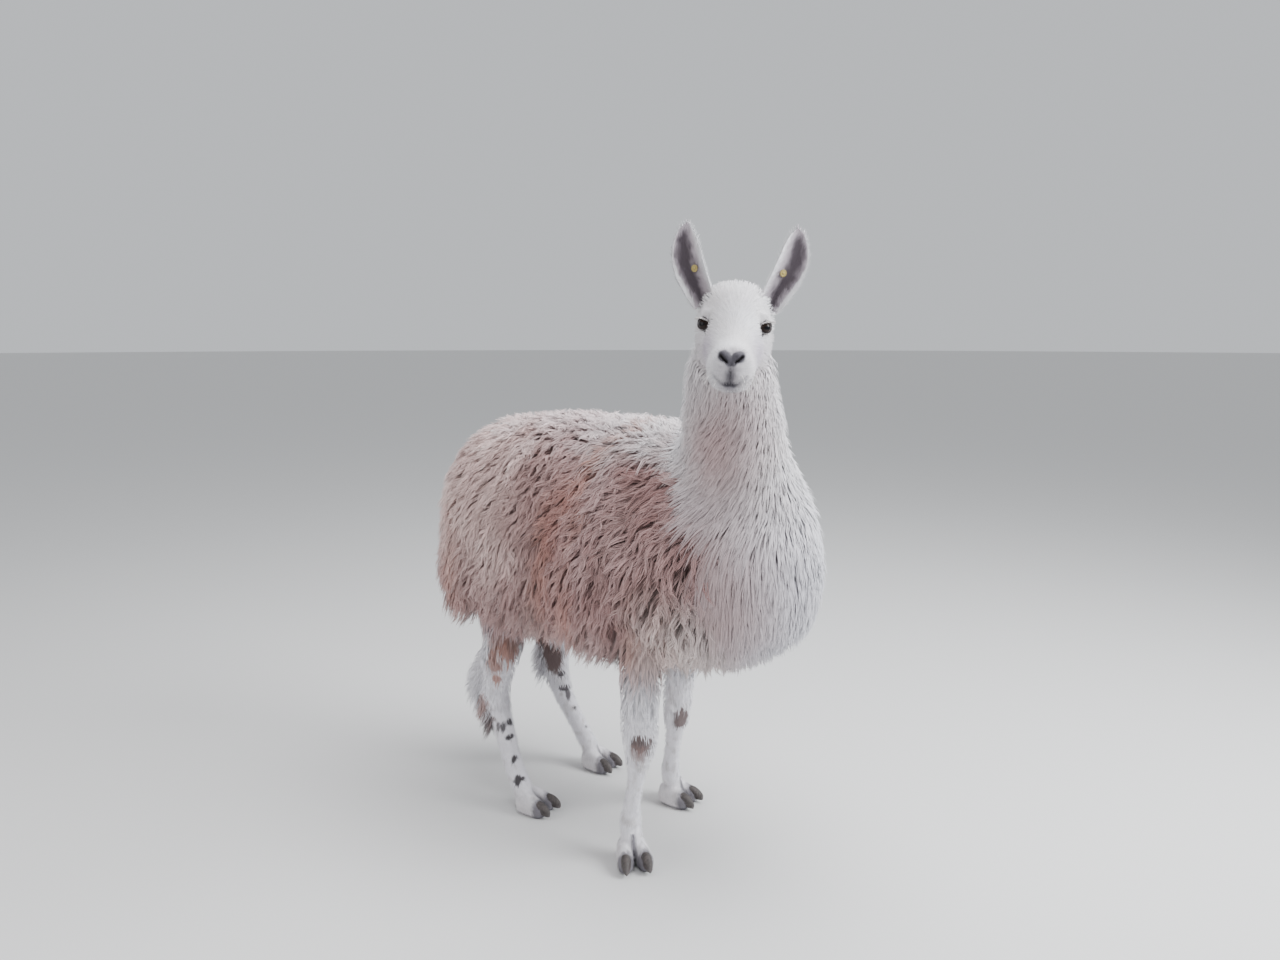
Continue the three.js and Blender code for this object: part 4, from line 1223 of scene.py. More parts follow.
class Coat:
    """Collects tufts and turns them into closed tapered strands of three sides."""

    def __init__(self):
        self.parts = []

    def add(self, path, facing, width, dye, uv, flat, soften):
        """path, facing and dye: tufts x (rings + tip) x 3; width: one for each tuft."""
        count, stations = path.shape[:2]
        rings = stations - 1
        tip = rings * 3
        tangent = np.empty_like(path)
        tangent[:, 1:-1] = path[:, 2:] - path[:, :-2]
        tangent[:, 0] = path[:, 1] - path[:, 0]
        tangent[:, -1] = path[:, -1] - path[:, -2]
        tangent = unit(tangent)
        side = unit(np.cross(tangent, facing))
        top = np.cross(side, tangent)
        share = np.arange(rings) / rings
        profile = (1 - share**1.8) * (0.75 + 0.25 * np.sin(np.pi * np.minimum(share * 2, 1)))
        radius = width[:, None] * profile[None]
        verts, lit = np.empty((2, count, tip + 1, 3))
        patch = np.empty((count, tip + 1, 2))
        for j, turn in enumerate((90, 210, 330)):
            c, s = math.cos(math.radians(turn)), math.sin(math.radians(turn))
            verts[:, j:tip:3] = (
                path[:, :rings]
                + side[:, :rings] * (radius * c)[..., None]
                + top[:, :rings] * (radius * s * flat)[..., None]
            )
            round_way = side[:, :rings] * c + top[:, :rings] * s
            lit[:, j:tip:3] = mix(round_way, facing[:, :rings], soften)
            patch[:, j:tip:3, 0] = (j / 2 - 0.5) * PATCH
            patch[:, j:tip:3, 1] = (share - 0.5) * PATCH
        verts[:, -1], lit[:, -1], patch[:, -1] = path[:, -1], facing[:, -1], (0, PATCH / 2)
        colour = np.concatenate([np.repeat(dye[:, :rings], 3, axis=1), dye[:, -1:]], 1)
        faces = [(0, 1, 2)]
        for base in range(0, tip - 3, 3):
            for j in range(3):
                a, b = base + j, base + (j + 1) % 3
                faces += [(a, b + 3, b), (a, a + 3, b + 3)]
        faces += [(tip - 3 + (j + 1) % 3, tip - 3 + j, tip) for j in range(3)]
        layers = verts, unit(lit), colour, patch + uv[:, None]
        self.parts.append((layers, np.array(faces)))

    def pieces(self, name, limit=190000):
        """Closed meshes of at most `limit` triangles, in order along the body."""
        tufts = sorted(
            (x, part, i, len(faces))
            for part, ((verts, _, _, _), faces) in enumerate(self.parts)
            for i, x in enumerate(verts[:, 0, 0])
        )
        total = sum(triangles for _, _, _, triangles in tufts)
        groups = max(math.ceil(total / limit), 1)
        made, group, filled = [], [], 0
        for _, part, i, triangles in tufts:
            group.append((part, i))
            filled += triangles
            if filled >= total / groups:
                made.append(group)
                group, filled = [], 0
        if group:
            made.append(group)
        return [self.mesh("%s_%d" % (name, k + 1), np.array(g)) for k, g in enumerate(made)]

    def mesh(self, name, group):
        """One piece of coat from the chosen tufts, each a part's number and a row in it."""
        gathered, faces, start = [], [], 0
        for part, (layers, shape) in enumerate(self.parts):
            ids = group[group[:, 0] == part, 1]
            if not len(ids):
                continue
            size = layers[0].shape[1]
            gathered.append([layer[ids].reshape(-1, layer.shape[-1]) for layer in layers])
            steps = start + np.arange(len(ids)) * size
            faces.append((shape[None] + steps[:, None, None]).reshape(-1, 3))
            start += len(ids) * size
        points, normals, colours, patches = (np.concatenate(layer) for layer in zip(*gathered))
        faces = np.concatenate(faces)
        points[:, 2] = np.maximum(points[:, 2], LOWEST_HAIR)
        mesh = mesh_of(name, place(points), faces)
        write_dye(mesh, colours)
        layer = mesh.uv_layers.new(name="OFBake")
        layer.data.foreach_set("uv", patches[faces.ravel()].astype(np.float32).ravel())
        round_shaded(mesh)
        mesh.normals_split_custom_set_from_vertices(normals.tolist())
        return new_object(name, mesh)


def comb(coat, locks, facing, roots, look, seed):
    """Splits each lock into strands that part at the root and meet towards its tip."""
    rng = np.random.default_rng(seed)
    count = len(locks)
    s = np.array(look.stations, float)[None]
    side = unit(np.cross(locks[:, 2] - locks[:, 1], facing[:, 1]))[:, None]
    lock_shade = 1 + look.shade * rng.normal(size=(count, 1))
    phase = rng.random((count, 1)) * 2 * np.pi
    wave = look.wave * (0.5 + rng.random((count, 1)))
    turns = look.turns * (0.8 + 0.4 * rng.random((count, 1)))
    hook = look.hook * rng.normal(size=(count, 1))
    fade = (1 - s**1.4) * 0.85 + 0.15
    climb = np.minimum(s / 0.35, 1)
    for strand in range(look.strands):
        reach = 0.70 + 0.30 * rng.random((count, 1)) if strand else np.ones((count, 1))
        path = along_path(locks, s * reach)
        face = unit(along_path(facing, s * reach))
        part = look.spread * rng.normal(size=(count, 2))
        angle = turns * s * 2 * np.pi + phase
        sideways = part[:, :1] * fade + wave * np.sin(angle) * climb + hook * s**4
        upwards = 0.45 * part[:, 1:] * fade + 0.4 * wave * np.cos(angle) * climb
        curl = look.curl * (0.3 + rng.random((count, 1))) * s**5
        loose = (rng.random((count, 1)) < look.flyaway) * s**2
        upwards = upwards + curl + loose * look.flight * rng.random((count, 1))
        upwards = np.minimum(upwards, LOFT)
        path = path + side * sideways[..., None] + face * upwards[..., None]
        shade = lock_shade * (1 + 0.05 * rng.normal(size=(count, 1)))
        # darker towards the root, as painted shade deep in the coat, and lighter towards the tip
        woolly = look.root_shade + (look.tip_shade - look.root_shade) * s**0.8
        straight = look.root_shade_pale + (1 - look.root_shade_pale) * s
        gradient = mix(straight[..., None], woolly[..., None], roots["wool"][:, None])[..., 0]
        dye = roots["dye"][:, None] * (shade * gradient)[..., None]
        width = look.width * (0.75 + 0.5 * rng.random(count))
        dye = np.clip(dye, 0.01, 0.92)
        coat.add(path, face, width, dye, roots["uv"], look.flat, look.soften)


# Styles of strand.  Stations are the places of its rings from root to tip; spread, width,
# wave, hook, curl and flight are lengths; turns counts the waves; flyaway is the share of
# strands that stand off their lock by up to the flight; the shades run from root to tip.
# root_shade and root_shade_pale darken the roots as painted shade deep in the coat.
WAVY = dict(
    stations=(0, 0.45, 0.76, 1), strands=6, spread=5.6, width=2.5, flat=0.6, wave=4.6, turns=1.5,
    hook=7.0, curl=9.0, flyaway=0.05, flight=13.0, shade=0.11, root_shade=0.74, tip_shade=1.2,
    root_shade_pale=0.86, soften=0.5,
)
SILKY = dict(
    WAVY, strands=4, spread=4.2, width=3.2, wave=1.8, turns=0.9, hook=2.5, curl=3, flyaway=0.06,
    flight=14, shade=0.025, tip_shade=1.04, root_shade=0.86, root_shade_pale=0.97,
    stations=(0, 0.45, 0.78, 1), soften=0.88, flat=0.4,
)
SHORT = dict(
    WAVY, stations=(0, 0.45, 0.8, 1), strands=1, spread=0.6, width=1.35, wave=0.5, turns=0.5,
    hook=0.8, curl=0.6, flyaway=0.0, shade=0.025, root_shade=0.86, tip_shade=1.05,
    root_shade_pale=0.97, flat=0.5, soften=0.7,
)
SHORTEST = dict(SHORT, stations=(0, 0.6, 1))


def owners(*starts):
    wanted = [k for k, name in enumerate(SHELL_NAMES) if name.startswith(starts)]
    return np.isin(face_owner, wanted)


fx, fy, fz = face_middle.T


def keep(piece, slot, *nodes):
    """Every finished piece rides with the body and hides the nodes it stands for; slot is not
    used.
    """
    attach(piece, "root")
    if nodes:
        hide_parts(*nodes)


def trimmed(locks, facing, seed):
    """Shortens the locks that would hang below the hem, which rises at the front."""
    rng = np.random.default_rng(seed)
    root, tip = locks[:, 0], locks[:, -1]
    hem = np.interp(root[:, 0], *zip(*HEM))
    hem = hem + 16 * noise(root, 30, 71) + 12 * rng.normal(size=len(root))
    kept = np.clip((root[:, 2] - hem) / np.maximum(root[:, 2] - tip[:, 2], 1), 0.35, 1)
    share = np.linspace(0, 1, locks.shape[1])[None] * kept[:, None]
    return along_path(locks, share), along_path(facing, share)


def grow_area(coat, roots, lie, size, cling, swing, look, seed, hem=False, **growth):
    """Grows one area's locks from its roots and adds their strands to the coat."""
    size = np.broadcast_to(size, len(roots["root"]))
    locks, facing = grow_locks(roots, lie, size, cling, swing, **growth)
    if hem:
        locks, facing = trimmed(locks, facing, seed)
    comb(coat, locks, facing, roots, SimpleNamespace(**look), seed)


def grow_fleece():
    """Wavy pointed locks on the trunk, short and matted over the back, long at the hem."""
    coat = Coat()
    under = owners("trunk", "front") & (fz < 640)
    woolly = owners("trunk", "front", "tail") & (face_wool > 0.5)
    sides = woolly & ~under
    cling = lambda p: 0.65 * ease(p[:, 2], 600, 700)
    areas = [  # faces, spacing, seed, length, swing, changes of style
        (woolly & (fz >= 1130), 13.5, 31, 50, 0.95, dict(wave=7, hook=11, curl=12)),
        (sides & (fz < 1130) & (fz >= 700), 13.8, 32, 76, 0.7, dict(hook=9)),
        (sides & (fz < 700), 13.0, 33, 98, 0.55, dict(flyaway=0.1, wave=5.5, hook=9)),
        (woolly & under, 20, 34, 92, 0.4, dict(strands=2, flyaway=0.12)),
    ]
    for faces, spacing, seed, length, swing, changes in areas:
        roots = scatter(faces, spacing, seed)
        size = length * (1 + 0.25 * noise(roots["root"], 90, seed))
        look = {**WAVY, **changes}
        grow_area(coat, roots, body_lie, size, cling, swing, look, seed, hem=True)
    return coat


def grow_bib():
    """Long soft straight hair on the chest, shorter up the neck."""
    coat = Coat()
    white = owners("front", "trunk") & (face_wool <= 0.5)
    cling = lambda p: 0.15 + 0.65 * ease(p[:, 2], 560, 680)
    areas = [  # faces, spacing, seed, length, swing, changes of style
        (white & (fz < 690), 10, 41, 104, 0.14, dict(flyaway=0.2)),
        (white & (fz >= 690) & (fz < 1020), 8.5, 46, 112, 0.13, dict()),
        (white & (fz >= 1020) & (fz < 1230), 8.3, 43, 84, 0.15, dict(flight=18, width=2.9)),
        (white & (fz >= 1230), 7.1, 44, 62, 0.16, dict(flyaway=0.16, flight=20, width=2.5)),
    ]
    for faces, spacing, seed, length, swing, changes in areas:
        roots = scatter(faces, spacing, seed)
        size = length * (1 + 0.2 * noise(roots["root"], 60, seed))
        look = {**SILKY, **changes}
        grow_area(coat, roots, body_lie, size, cling, swing, look, seed, hem=True, uneven=0.04)
    return coat


def grow_head():
    """Short fur on the face, smallest on the muzzle, longer on poll, cheeks and jaw."""
    coat = Coat()
    q = in_head(face_middle)
    by_eye = np.zeros(len(q), bool)
    for sign in (-1, 1):
        reach, _, _, a, b = eye_reach(q, sign)
        corner = ease(a, 4, 20) * ease(b, 5, -3)
        by_eye |= reach < 1.55 + 0.65 * corner - 0.25 * ease(b, 0, 6)
    furred = owners("head") & (face_bare < 0.15) & ~by_eye
    x = q[:, 0]
    muzzle, poll = x > 112, x <= 10
    areas = [  # faces, spacing, seed, length, more on crown and jaw, changes of style
        (furred & muzzle, 3.4, 51, 6.0, 0, dict(width=0.7, stations=(0, 0.6, 1))),
        (furred & ~muzzle & ~poll, 3.9, 52, 9.0, 0, dict(width=0.85)),
        (furred & poll, 4.8, 53, 15.0, 1, dict(
            width=1.0, curl=1.2, flyaway=0.08, flight=5, wave=0.8)),
    ]
    for faces, spacing, seed, length, fuller, changes in areas:
        roots = scatter(faces, spacing, seed)
        p = in_head(roots["root"])
        near = np.minimum(eye_reach(p, -1)[0], eye_reach(p, 1)[0])
        size = length * (0.4 + 0.6 * ease(near, 1.6, 3.2))
        for sign in (-1, 1):
            _, radius, _, a, _ = eye_reach(p, sign)
            size = size * (1 - 0.66 * ease(radius, 80, 50) * ease(a, 0, 12))
        size = size * (1 + 0.6 * fuller * ease(p[:, 2], 50, 95) * ease(p[:, 0], 0, -40))
        size = size * (1 + 0.8 * fuller * ease(p[:, 2], -60, -100))
        look, cling = {**SHORT, **changes}, lambda p: 0.8
        grow_area(coat, roots, head_lie, size, cling, 0.3, look, seed, stages=3, spread=0.2)
    return coat


def grow_ears():
    coat = Coat()
    seed, length = 55, 11
    look = {**SHORT, **dict(width=0.8, curl=2.0, flyaway=0.3, flight=5)}
    roots = scatter(owners("ear"), 3.9, seed)
    cling = lambda p: 0.1
    grow_area(coat, roots, ear_lie, length, cling, 0.5, look, seed, rise=0.34, stages=3)
    return coat


def grow_legs():
    """Hair that shortens down the legs, with tufts behind the hocks."""
    coat = Coat()
    legs = owners("leg", "toe")
    backward = face_normals[:, 0]
    hock = (np.abs(fz - 378) < 46) & (fx < -505) & (backward < -0.2)
    hock |= (np.abs(fz - 278) < 40) & (fx < -505) & (fy < 0) & (backward < -0.1)
    plain = legs & ~hock
    areas = [  # faces, spacing, seed, length, style, changes of style
        (plain & (fz > 470), 13, 71, 46, SHORT, dict(width=2.5, strands=2, spread=3, curl=4)),
        (plain & (fz > 300) & (fz <= 470), 9.2, 72, 20, SHORT, dict(width=1.8, curl=1.6)),
        (plain & (fz > 60) & (fz <= 300), 7.6, 73, 11, SHORTEST, dict(width=1.3)),
        (legs & (fz > 7) & (fz <= 60), 5.6, 74, 10, SHORTEST, dict(width=1.1, curl=1.2)),
    ]
    for faces, spacing, seed, length, base, changes in areas:
        roots, look, cling = scatter(faces, spacing, seed), {**base, **changes}, lambda p: 0.6
        grow_area(coat, roots, leg_lie, length, cling, 0.35, look, seed, stages=4, spread=0.25)
    seed, length = 75, 46
    look = {**SHORT, **dict(
        width=1.8, strands=2, spread=4, curl=16, wave=4, hook=7, flyaway=0.5, flight=16)}
    roots, cling = scatter(legs & hock, 6.2, seed), lambda p: 0.08
    grow_area(coat, roots, tuft_lie, length, cling, 0.35, look, seed, stages=4, spread=0.25)
    return coat


# ------------------------------------------------------------------ finishes
def shader(name, **sockets):
    """A material with one principled shader; its even values sit on the shader's sockets."""
    material = bpy.data.materials.new(name)
    material.use_nodes = True
    tree = material.node_tree
    principled = next(n for n in tree.nodes if n.type == "BSDF_PRINCIPLED")
    for socket, value in sockets.items():
        principled.inputs[socket.replace("_", " ")].default_value = value
    return material, tree, principled


def add_node(tree, kind, **settings):
    node = tree.nodes.new(kind)
    for key, value in settings.items():
        if hasattr(node, key):
            setattr(node, key, value)
        else:
            node.inputs[key.replace("_", " ")].default_value = value
    return node


def on_object(tree, node):
    """Lays a texture out on the piece's own coordinates."""
    coords = add_node(tree, "ShaderNodeTexCoord")
    tree.links.new(coords.outputs["Object"], node.inputs["Vector"])
    return node


def object_noise(tree, scale, detail=3.0, stretch=(1, 1, 1)):
    """Noise on the piece's own coordinates, drawn out along an axis by a small stretch."""
    mapping = on_object(tree, add_node(tree, "ShaderNodeMapping", Scale=stretch))
    texture = add_node(tree, "ShaderNodeTexNoise", Scale=scale, Detail=detail, Roughness=0.6)
    tree.links.new(mapping.outputs["Vector"], texture.inputs["Vector"])
    return texture.outputs["Fac"]


def ramp(tree, source, low, high, start=0.0, end=1.0):
    """Runs from low to high as the source goes from start to end."""
    node = add_node(
        tree, "ShaderNodeMapRange", From_Min=start, From_Max=end, To_Min=low, To_Max=high)
    tree.links.new(source, node.inputs["Value"])
    return node.outputs["Result"]


def bump(tree, principled, height, distance, strength):
    node = add_node(tree, "ShaderNodeBump", Strength=strength, Distance=distance)
    tree.links.new(height, node.inputs["Height"])
    tree.links.new(node.outputs["Normal"], principled.inputs["Normal"])


def attribute(tree, name, output="Color"):
    return add_node(tree, "ShaderNodeAttribute", attribute_name=name).outputs[output]


def lay_dye(tree, principled, streaks, low, high):
    """The piece's own dye, darkened and lightened by fine streaks."""
    node = add_node(tree, "ShaderNodeVectorMath", operation="SCALE")
    tree.links.new(attribute(tree, "dye"), node.inputs[0])
    tree.links.new(ramp(tree, streaks, low, high, 0.3, 0.7), node.inputs["Scale"])
    tree.links.new(node.outputs["Vector"], principled.inputs["Base Color"])


def lay_two_tones(tree, principled, source, *tones):
    """Runs between two colours; each tone is its place on the source and its colour."""
    node = add_node(tree, "ShaderNodeValToRGB")
    for stop, (position, colour) in zip(node.color_ramp.elements, tones):
        stop.position, stop.color = position, (*colour, 1)
    tree.links.new(source, node.inputs["Fac"])
    tree.links.new(node.outputs["Color"], principled.inputs["Base Color"])


def hair_finish(name, grain, depth, low, high, sheen):
    """Dyed hair: its own colour, broken by fine streaks, dull and softly bright at the rim."""
    material, tree, principled = shader(
        name, Roughness=0.78, Specular_IOR_Level=0.28, Sheen_Weight=sheen, Sheen_Roughness=0.45)
    streaks = object_noise(tree, grain, 2.0, (1, 1, 0.35))
    lay_dye(tree, principled, streaks, low, high)
    bump(tree, principled, streaks, depth, 0.5)
    return material


def skin_finish():
    """Short fur where the skin shows, and moist pebbled leather on nose, lips and lids."""
    material, tree, principled = shader(
        "short_fur_and_leather", Specular_IOR_Level=0.3, Sheen_Roughness=0.5)
    share = attribute(tree, "bare", "Fac")
    fur = object_noise(tree, 420, 3.0, (1, 1, 0.3))
    pebble = on_object(tree, add_node(tree, "ShaderNodeTexVoronoi", Scale=620.0))
    lay_dye(tree, principled, fur, 0.88, 1.08)
    tree.links.new(ramp(tree, share, 0.82, 0.5), principled.inputs["Roughness"])
    tree.links.new(ramp(tree, share, 0.12, 0.0), principled.inputs["Sheen Weight"])
    height = add_node(tree, "ShaderNodeMix", data_type="FLOAT")
    for source, socket in ((share, 0), (fur, 2), (pebble.outputs["Distance"], 3)):
        tree.links.new(source, height.inputs[socket])
    bump(tree, principled, height.outputs[0], 0.0011, 0.55)
    return material


def eye_finish():
    """Nearly black brown iris with a level pupil, under a wet cornea."""
    material, tree, principled = shader(
        "wet_eye", Roughness=0.2, Specular_IOR_Level=0.1, Coat_Weight=0.14, Coat_Roughness=0.03)
    lay_dye(tree, principled, object_noise(tree, 900, 2.0), 0.6, 1.3)
    return material


def horn_finish():
    """Dark horn with growth lines across the nail and blotches in its colour and gloss."""
    material, tree, principled = shader("dark_horn", Specular_IOR_Level=0.45)
    lines = on_object(tree, add_node(
        tree, "ShaderNodeTexWave", wave_type="BANDS", bands_direction="DIAGONAL",
        Scale=210.0, Distortion=2.2, Detail=2.0))
    blotch = object_noise(tree, 120, 4.0)
    lay_dye(tree, principled, blotch, 0.65, 1.5)
    tree.links.new(ramp(tree, blotch, 0.42, 0.68, 0.35, 0.65), principled.inputs["Roughness"])
    bump(tree, principled, lines.outputs["Fac"], 0.0005, 0.5)
    return material


def tag_finish():
    """Soft yellow plastic, slightly scuffed and faded."""
    material, tree, principled = shader("yellow_plastic", Specular_IOR_Level=0.5)
    scuffs = object_noise(tree, 500, 4.0)
    lay_two_tones(tree, principled, scuffs, (0.35, (0.33, 0.24, 0.05)), (0.68, (0.42, 0.34, 0.12)))
    tree.links.new(ramp(tree, scuffs, 0.35, 0.6, 0.3, 0.7), principled.inputs["Roughness"])
    bump(tree, principled, scuffs, 0.0002, 0.3)
    return material


def lash_finish():
    material, tree, principled = shader("lash", Roughness=0.6, Specular_IOR_Level=0.3)
    streaks = object_noise(tree, 700, 2.0)
    lay_two_tones(tree, principled, streaks, (0, (0.60, 0.56, 0.55)), (1, (0.80, 0.78, 0.77)))
    return material


# ------------------------------------------------------------------ eyes, nails, tags, lashes
def put_finish(obj, material):
    obj.data.materials.clear()
    obj.data.materials.append(material)
    return obj


def small_piece(name, points, faces, finish, slot, node, dye=None):
    """A rounded solid from points in the body frame, finished and kept for its node."""
    mesh = mesh_of(name, place(points), faces)
    if dye is not None:
        write_dye(mesh, dye)
    round_shaded(mesh)
    keep(put_finish(new_object(name, mesh), finish), slot, node)


def turned_solid(profile, count):
    """A closed solid of revolution about +z from radius and height pairs."""
    profile = np.array(profile, float)
    angle = np.arange(count) / count * 2 * np.pi
    rings = np.stack([
        profile[:, :1] * np.cos(angle), profile[:, :1] * np.sin(angle),
        np.repeat(profile[:, 1:], count, axis=1),
    ], -1)
    ends = np.array([[0, 0, profile[0, 1]], [0, 0, profile[-1, 1]]])
    points = np.concatenate([rings.reshape(-1, 3), ends])
    return points, outward(points, ring_faces(len(profile), count))


def build_eye(sign, side, finish):
    """Eyeball with a slightly raised cornea; the iris lies round the way it looks."""
    centre, gaze, ahead = LID_SIDES[sign]
    bend = np.linspace(0.02, np.pi - 0.02, 60)
    points, faces = turned_solid([(math.sin(b), math.cos(b)) for b in bend], 72)
    points = unit(points)
    across, height, outwards = points.T
    off = np.arccos(np.clip(outwards, -1, 1))
    radius = EYE_RADIUS - 0.3 + 1.3 * ease(off, IRIS_EDGE, 0.2)
    pupil = ease(np.sqrt((across / 0.42) ** 2 + (height / 0.2) ** 2), 1.12, 0.92)
    dye = mix(mix(EYE_WHITE, EYE_BROWN, ease(off, IRIS_EDGE, 0.66)), EYE_BLACK, pupil)
    basis = np.stack([ahead, UP, gaze])
    if np.linalg.det(basis) < 0:
        basis[0] = -basis[0]
    points = apply_matrix(HEAD_PLACE, centre + (points * radius[:, None]) @ basis)
    small_piece("eyeball_" + side, points, faces, finish, "eye", "eye_" + side, dye)


def build_nail(name, sign, side, finish):
    """A curved claw-like nail with a ridge along its top and a worn tip."""
    shell = body_shell(Body(NAIL, LEFT, caps=(8, 9), square=(2, 2.6)), 1.6, 44, cap_rings=8)
    points = shell.skin
    ridge = 0.25 * np.sin(points[:, 0] * 0.9 + 0.4 * noise(points, 5, 71))
    worn = 0.35 * noise(points, (4, 3, 3), 73)
    points = points + point_normals(points, shell.faces) * (ridge + worn - 0.25)[:, None]
    points = apply_matrix(toe_place(name, sign), points)
    points[:, 2] = np.maximum(points[:, 2], LOWEST_NAIL)
    pale = ease(shell.along, 0.7, 1.0)[:, None] * 0.035
    dye = HORN * (1 + 0.25 * noise(points, 6, 79))[:, None] + pale
    piece = "%s_%s" % (name, side)
    small_piece("claw_" + piece, points, shell.faces, finish, "horn", "nail_" + piece, dye)


def tag_matrix(sign):
    """Where a tag's stud goes through the ear's wall, square to it."""
    at = np.array([TAG_UP_EAR])
    _, face, sideways = (v[0] for v in ear_frame(sign, at))
    values, curl, outer, hollow = (v[0] for v in ear_rings(sign, at))
    angle = curl * 0.3 * (-1 if sideways[1] * sign > 0 else 1)
    radius = outer - TAG_WALL * values[5] / 2
    spot = hollow + sideways * radius * math.sin(angle) - face * radius * math.cos(angle)
    inward = Vector(hollow - spot).normalized()
    turn = Vector((0, 0, 1)).rotation_difference(inward).to_matrix().to_4x4()
    return Matrix.Translation(Vector(spot)) @ turn


def build_tag(sign, side, finish):
    """Two buttons joined by a stud through the ear, with rounded rims and a raised boss."""
    near, far, r = TAG_REACH, TAG_REACH + TAG_THICKNESS, TAG_RADIUS
    boss = [(0.2, far + 0.9), (1.8, far + 0.9), (2.5, far + 0.6), (2.7, far + 0.1)]
    dish = [(3.1, far - 0.3), (5.6, far - 0.3), (6.2, far)]
    rim = [
        (r - 0.9 + 0.9 * math.sin(a), far - 0.9 + 0.9 * math.cos(a))
        for a in np.linspace(0, math.pi / 2, 6)
    ]
    foot = [
        (r - 0.7 + 0.7 * math.cos(a), near + 0.7 - 0.7 * math.sin(a))
        for a in np.linspace(0, math.pi / 2, 5)
    ]
    stud = [(TAG_STUD_RADIUS + 0.6, near), (TAG_STUD_RADIUS, near - 0.6)]
    half = boss + dish + rim + foot + stud
    points, faces = turned_solid(half + [(a, -b) for a, b in reversed(half)], 40)
    points = apply_matrix(HEAD_PLACE @ tag_matrix(sign), points)
    small_piece("tag_" + side, points, faces, finish, "tag", "ear_tag_" + side)


def bristle_tree(material):
    """Bent tapering bristles, one on each point, along the point's own aim."""
    tree = bpy.data.node_groups.new("bristles", "GeometryNodeTree")
    face = tree.interface
    face.new_socket("Points", in_out="INPUT", socket_type="NodeSocketGeometry")
    face.new_socket("Bristles", in_out="OUTPUT", socket_type="NodeSocketGeometry")
    for name, value in (("Root Radius", 0.0004), ("Bend", 0.3)):
        socket = face.new_socket(name, in_out="INPUT", socket_type="NodeSocketFloat")
        socket.default_value = value
    node = lambda kind, **settings: add_node(tree, kind, **settings)
    given, made = node("NodeGroupInput"), node("NodeGroupOutput")
    # one bristle: a bent stem one unit long, thinning to its tip
    bend = node("ShaderNodeCombineXYZ", Z=1.0)
    stem = node(
        "GeometryNodeCurveQuadraticBezier", Resolution=5, Start=(0, 0, 0), Middle=(0, 0, 0.55))
    along = node("GeometryNodeSplineParameter")
    taper = node("ShaderNodeMapRange", To_Min=1.0, To_Max=0.12)
    thin = node("GeometryNodeSetCurveRadius")
    ring = node("GeometryNodeCurvePrimitiveCircle", Resolution=5)
    body = node("GeometryNodeCurveToMesh", Fill_Caps=True)
    # and where it stands
    vector = dict(data_type="FLOAT_VECTOR")
    aim = node("GeometryNodeInputNamedAttribute", **vector, Name="aim")
    droop = node("GeometryNodeInputNamedAttribute", **vector, Name="droop")
    size = node("GeometryNodeInputNamedAttribute", data_type="FLOAT", Name="size")
    turn = node("FunctionNodeAxesToRotation", primary_axis="Z", secondary_axis="X")
    spread = node("GeometryNodeInstanceOnPoints")
    real = node("GeometryNodeRealizeInstances")
    finish = node("GeometryNodeSetMaterial", Material=material)
    for start, output, end, entry in (
        (given, "Bend", bend, "X"), (bend, "Vector", stem, "End"),
        (along, "Factor", taper, "Value"), (stem, "Curve", thin, "Curve"),
        (taper, "Result", thin, "Radius"), (given, "Root Radius", ring, "Radius"),
        (thin, "Curve", body, "Curve"), (ring, "Curve", body, "Profile Curve"),
        (aim, "Attribute", turn, "Primary Axis"), (droop, "Attribute", turn, "Secondary Axis"),
        (given, "Points", spread, "Points"), (body, "Mesh", spread, "Instance"),
        (turn, "Rotation", spread, "Rotation"), (size, "Attribute", spread, "Scale"),
        (spread, "Instances", real, "Geometry"), (real, "Geometry", finish, "Geometry"),
        (finish, "Geometry", made, "Bristles"),
    ):
        tree.links.new(start.outputs[output], end.inputs[entry])
    return tree


LASH_INPUTS = {"Root Radius": 0.022, "Bend": 0.28}  # shares of a lash's length
LIDS = (  # height of the edge, number of lashes, length, lift and the way they droop
    (LID_ABOVE, 64, 17.0, 0.10, -UP), (-LID_BELOW, 30, 8.0, -0.75, UP),
)


